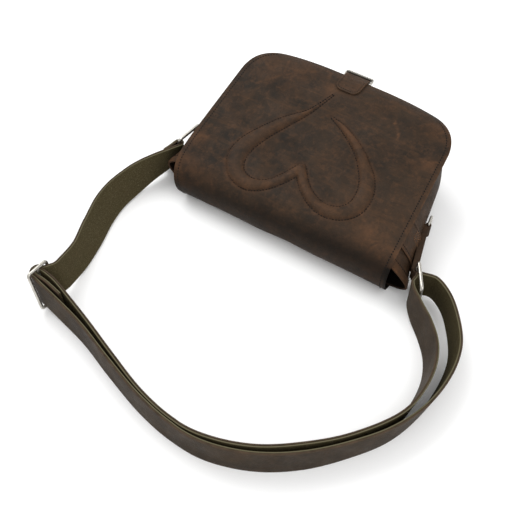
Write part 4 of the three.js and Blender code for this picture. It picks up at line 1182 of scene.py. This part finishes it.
# %% The two plies
PLY_COLUMNS = 10


def ply(name, beside, thick, inset, materials):
    def place(row, column):
        foot, up, side = STATIONS[row]
        height = lerp(inset, STRAP_WIDTH - inset, column / PLY_COLUMNS)
        return foot + up * height + side * beside

    size = ((STRAP_WIDTH - 2 * inset) * MM, STRAP_LENGTH * MM)
    piece = grid_sheet(name, len(STATIONS) - 1, PLY_COLUMNS, place, None, size)
    flat = piece.data.uv_layers[0].data
    for loop in piece.data.loops:
        row = round(flat[loop.index].uv.y / size[1] * (len(STATIONS) - 1))
        flat[loop.index].uv.y = lengths[row] * MM
    spread(piece, "wear_and_highlight", rim_rub(PLY_COLUMNS, 0.6, 0.08) * len(STATIONS))
    return thicken(piece, thick, materials, 0, 0.3)


leather_ply = ply("strap_leather_ply", (SEAM_GAP + STRAP_LEATHER) / 2, STRAP_LEATHER, 0, (STRAP_SKIN,))
belongs(leather_ply, "bag", "strap_leather", "strap_leather")
webbing_ply = ply(
    "strap_webbing_ply", -(SEAM_GAP + STRAP_WEBBING) / 2, STRAP_WEBBING, WEBBING_INSET, (WEBBING,)
)
belongs(webbing_ply, "bag", "webbing", "strap_webbing")

# %% Slider
slider = wire_loop(
    "strap_slider_wire", 2 * SLIDER_PITCH, SLIDER_HALF, SLIDER_WIRE, SLIDER_CORNER, SLIDER_CORNER
)
middle_bar = cylinder(SLIDER_WIRE, 2 * SLIDER_HALF, 0)
put(middle_bar, at_mm(SLIDER_PITCH, 0, 0) @ UPRIGHT)
middle_bar.data.materials.append(NICKEL)
smooth(middle_bar, 60)
join_to(slider, [middle_bar])
slider_up = Vector((*SLIDER_LEAN, 1))
slider_at = Vector((*SLIDER_PLACE, SLIDER_LIFT)) + slider_up * (SLIDER_MIDDLE_Z - SLIDER_LIFT)
slider_up.normalize()
slider_along = (Vector((0, 1, 0)) - slider_up * slider_up.y).normalized()
lying = Matrix((slider_along, slider_up, slider_along.cross(slider_up))).transposed().to_4x4()
put(slider, Matrix.Translation((slider_at - slider_along * SLIDER_PITCH) * MM) @ lying)
belongs(slider, "bag", "hardware", "strap_slider")


# %% [markdown]
# ## Stitches
# Every seam that shows is a row of short dark stitches, and each side patch has a box and a cross in tan
# thread. One stitch is a small stretched sphere of thirty faces, copied at an even pitch along the seams. The
# stitches of a kind are one piece. A Curve modifier on an Array could do this too, but it bends each stitch,
# and the real ones are straight.

# %% One stitch and a row of them
def thread(name, dark, light):
    material, tree, strand = new_material(name)
    where = node(tree, "TexCoord").outputs["Object"]
    fade = between(tree, clouds(tree, where, 500, 3), 0.3, 0.7)
    tree.links.new(mixed(tree, fade, dark, light), strand.inputs["Base Color"])
    tree.links.new(bumped(tree, clouds(tree, where, 3000, 2), 0.1, 0.5), strand.inputs["Normal"])
    strand.inputs["Roughness"].default_value = 0.8
    strand.inputs["Specular IOR Level"].default_value = 0.2
    return material


DARK_THREAD = thread("dark_thread", (0.003, 0.0026, 0.0023, 1), (0.007, 0.0056, 0.0048, 1))
TAN_THREAD = thread("tan_thread", (0.12, 0.055, 0.025, 1), (0.21, 0.11, 0.055, 1))
bpy.ops.object.select_all(action="DESELECT")
bpy.ops.mesh.primitive_uv_sphere_add(segments=6, ring_count=5, radius=0.5)
one_stitch = bpy.context.object
STITCH_POINTS = np.array([tuple(v.co) for v in one_stitch.data.vertices])
STITCH_FACES = [tuple(p.vertices) for p in one_stitch.data.polygons]
bpy.data.objects.remove(one_stitch, do_unlink=True)


def even_places(line, pitch):
    """Places at an even pitch along a line of (point, normal) pairs, each with its direction."""
    walked = np.cumsum([0] + [(b[0] - a[0]).length for a, b in zip(line, line[1:])])
    places = []
    for k in range(int(walked[-1] / pitch)):
        at = (k + 0.5) * pitch
        j = min(int(np.searchsorted(walked, at)), len(line) - 1)
        one, two = line[max(j - 1, 0)], line[j]
        share = (at - walked[j - 1]) / max(walked[j] - walked[j - 1], 1e-6)
        places.append((one[0].lerp(two[0], share), one[1].lerp(two[1], share), two[0] - one[0]))
    return places


def sew(name, lines, material, pitch=3.0, length=2.2, thick=1.2):
    points, faces = [], []
    for line in lines:
        for place, normal, along in even_places(line, pitch):
            ahead = along.normalized()
            across = normal.cross(ahead).normalized()
            up = ahead.cross(across)
            frame_of = np.array([ahead * length, across * thick, up * thick])
            first = len(points)
            points += list(STITCH_POINTS @ frame_of + np.array(place))
            faces += [tuple(first + i for i in face) for face in STITCH_FACES]
    mesh = bpy.data.meshes.new(name)
    mesh.from_pydata([Vector(p) * MM for p in points], [], faces)
    mesh.materials.append(material)
    piece = bpy.data.objects.new(name, mesh)
    bpy.context.collection.objects.link(piece)
    smooth(piece, 80)
    belongs(piece, "bag", "body_leather")


print("stitch faces:", len(STITCH_FACES))

# %% Heart stitches
HEART_SEAM_OUT, HEART_SEAM_OVER, HEART_OVERLAP = 0.2, 0.3, 0.4


def flap_line(places):
    """Points a little over the flap's finished leather, with the sheet's normal."""
    heights = relief([p[0] for p in places], [p[1] for p in places])
    line = []
    for (x, y), height in zip(places, heights):
        distance = flap_distance(y)
        share = x / sheet_half(distance)
        point = on_sheet(distance, share, height + skin_over(distance, share) + HEART_SEAM_OVER)
        line.append((point, sheet_normal(walk(distance)[2])))
    return line


def runs(places, keep):
    """Splits a row of places where some are left out."""
    parts, part = [], []
    for place, kept in zip(places, keep):
        if kept:
            part.append(place)
        elif part:
            parts.append(part)
            part = []
    return [p for p in parts + [part] if len(p) > 3]


heart_lines = []
for arm in ARMS:
    ahead = [arm[min(k + 1, HEART_STEPS)] - arm[max(k - 1, 0)] for k in range(HEART_STEPS + 1)]
    for sign in (-1, 1):
        row = []
        for p, d in zip(arm, ahead):
            out = Vector((-d.y, d.x)).normalized() * (p.z + HEART_SEAM_OUT) * sign
            row.append((p.x + out.x, p.y + out.y))
        apart, wide = heart_place([p[0] for p in row], [p[1] for p in row])
        for part in runs(row, apart > wide - HEART_OVERLAP):
            heart_lines.append(flap_line(part))
sew("heart_stitches", heart_lines, DARK_THREAD)

# %% Flap edge stitches
FLAP_INSET, FLAP_SEAM_SUNK = 5, 0.02
FLAP_SEAM_START, FLAP_SEAM_END, FLAP_SEAM_STEP = FOLD_END - 62, SHEET_LENGTH - 9, 1.0


def flap_edge_line(side):
    """Along one side of the sheet, from low on the fold to part of the way round the flap's corner."""
    line = []
    for distance in np.arange(FLAP_SEAM_START, FLAP_SEAM_END, FLAP_SEAM_STEP):
        half = sheet_half(distance) - (left_pinch(distance) if side < 0 else 0)
        slope = sheet_half(distance + 0.5) - sheet_half(distance - 0.5)
        share = side * (half - FLAP_INSET * math.hypot(1, slope)) / half
        point = on_sheet(distance, share, skin_over(distance, share) - FLAP_SEAM_SUNK)
        line.append((point, sheet_normal(walk(distance)[2])))
    return line


sew("flap_edge_stitches", [flap_edge_line(1), flap_edge_line(-1)], DARK_THREAD)

# %% Hem and patch stitches
HEM_SEAM_Y = POUCH_MOUTH_Y + HEM - 1.5
PATCH_SEAM_OVER, SEAM_INSET = PATCH_OVER + THIN_LEATHER + 0.05, 2.2
CROSS_START, CROSS_END, CROSS_LOW, CROSS_HIGH = 13.5, 21.5, 0.56, 0.78


def facing(side, up):
    return Vector((WAY[side], 0, up)).normalized()


def gusset_hem_line(side):
    line = []
    for level in np.linspace(0.06, 0.97, 60):
        over = HEM_OVER + noise.noise(Vector((4, 2, level))) * 0.1
        line.append((on_side(side, HEM_SEAM_Y, level, over), facing(side, 0.2)))
    return line


def patch_edge_line(side, y):
    levels = np.linspace(PATCH_LOW + 0.03, PATCH_HIGH, 50)
    return [(on_side(side, y, level, PATCH_SEAM_OVER), facing(side, 0.3)) for level in levels]


def box_and_cross(side):
    """The tan stitching on a patch: a square with its diagonals, by place along the wall and level up it."""
    near, far = PATCH_Y[side] + CROSS_START, PATCH_Y[side] + CROSS_END
    a, b, c, d = (near, CROSS_LOW), (far, CROSS_LOW), (far, CROSS_HIGH), (near, CROSS_HIGH)
    lines = []
    for one, two in ((a, b), (b, c), (c, d), (d, a), (a, c), (b, d)):
        steps = [np.array(one) + (np.array(two) - np.array(one)) * t for t in np.linspace(0, 1, 12)]
        lines.append([(on_side(side, *step, PATCH_SEAM_OVER), facing(side, 0.6)) for step in steps])
    return lines


hems = [gusset_hem_line(side) for side in WAY]
insets = (SEAM_INSET, PATCH_WIDTH - SEAM_INSET)
patches = [patch_edge_line(side, PATCH_Y[side] + inset) for side in WAY for inset in insets]
crosses = box_and_cross("right") + box_and_cross("left")
sew("patch_cross_stitches", crosses, TAN_THREAD, pitch=2.2, length=1.7, thick=0.7)
sew("side_stitches", hems + patches, DARK_THREAD, pitch=2.8, length=2.0, thick=0.85)

# %% Chape stitches
CHAPE_SEAM_OVER, CHAPE_SEAM_START = SEAM_GAP + CHAPE_THICK + 0.02, 5


def chape_edge():
    """Round the chape on the flap, a little inside its edge, from one side over the end to the other."""
    corner_x, corner_d = CHAPE_HALF - CHAPE_CORNER, CHAPE_ON_FLAP - CHAPE_CORNER
    radius = CHAPE_CORNER - SEAM_INSET
    outline = [(CHAPE_HALF - SEAM_INSET, d) for d in np.arange(CHAPE_SEAM_START, corner_d, 1)]
    for a in np.linspace(0, math.pi / 2, 12):
        outline.append((corner_x + radius * math.cos(a), corner_d + radius * math.sin(a)))
    line = []
    for x, from_end in outline + [(-x, d) for x, d in reversed(outline)]:
        y, z, heading = walk(SHEET_LENGTH - from_end)
        normal = sheet_normal(heading)
        line.append((Vector((CLOSURE_X + x, y, z)) + normal * CHAPE_SEAM_OVER, normal))
    return line


sew("chape_stitches", [chape_edge()], DARK_THREAD, pitch=2.6, length=1.8, thick=0.6)


# %% [markdown]
# ## Floor, light and camera
# The bag lies on a plain, almost white floor, a hair below it. Soft light comes from a bright surround and
# two large area lights, above its left and its right. The camera looks down over the fold, as in the picture,
# without depth of field.

# %% Floor
FLOOR_SIZE, FLOOR_DROP = 8, 0.0003
bpy.ops.object.select_all(action="DESELECT")
bpy.ops.mesh.primitive_plane_add(size=FLOOR_SIZE, location=(0, 0, -FLOOR_DROP))
floor = bpy.context.object
floor.name = "floor"
paper, paper_tree, paper_skin = new_material("pale_paper")
paper_where = node(paper_tree, "TexCoord").outputs["Object"]
paper_tint = between(paper_tree, clouds(paper_tree, paper_where, 3, 2), 0.3, 0.7)
paper_colour = mixed(paper_tree, paper_tint, (0.94, 0.94, 0.94, 1), (0.96, 0.96, 0.955, 1))
paper_tree.links.new(paper_colour, paper_skin.inputs["Base Color"])
paper_skin.inputs["Roughness"].default_value = 0.9
paper_skin.inputs["Specular IOR Level"].default_value = 0.1
floor.data.materials.append(paper)
print("floor:", floor.dimensions[:])


# %% Light
def area_light(name, place, at, size, power):
    bpy.ops.object.light_add(type="AREA", location=place)
    lamp = bpy.context.object
    lamp.name = name
    lamp.data.shape = "RECTANGLE"
    lamp.data.size, lamp.data.size_y = size
    lamp.data.energy = power
    lamp.rotation_euler = (Vector(at) - Vector(place)).to_track_quat("-Z", "Y").to_euler()


world = bpy.data.worlds.new("studio")
bpy.context.scene.world = world
world.use_nodes = True
surround = world.node_tree.nodes["Background"]
surround.inputs["Color"].default_value = (1.0, 1.0, 1.0, 1)
surround.inputs["Strength"].default_value = 0.95
area_light("key", (-1.1, 0.35, 1.5), (0, -0.05, 0), (1.3, 1.3), 20)
area_light("fill", (1.0, -0.5, 1.5), (0, -0.1, 0), (1.3, 1.3), 9)
bpy.context.scene.view_settings.view_transform = "Standard"

# %% Camera
CAMERA_PLACE = Vector((248.682, -533.849, 706.928)) * MM
CAMERA_AT = Vector((-7, -110, 0)) * MM
bpy.ops.object.camera_add(location=CAMERA_PLACE)
camera = bpy.context.object
camera.rotation_euler = (CAMERA_AT - CAMERA_PLACE).to_track_quat("-Z", "Y").to_euler()
camera.data.sensor_width = 36
camera.data.lens = 59.77
camera.data.clip_start, camera.data.clip_end = 0.01, 50
bpy.context.scene.camera = camera
print("camera at", [round(c, 3) for c in camera.location])
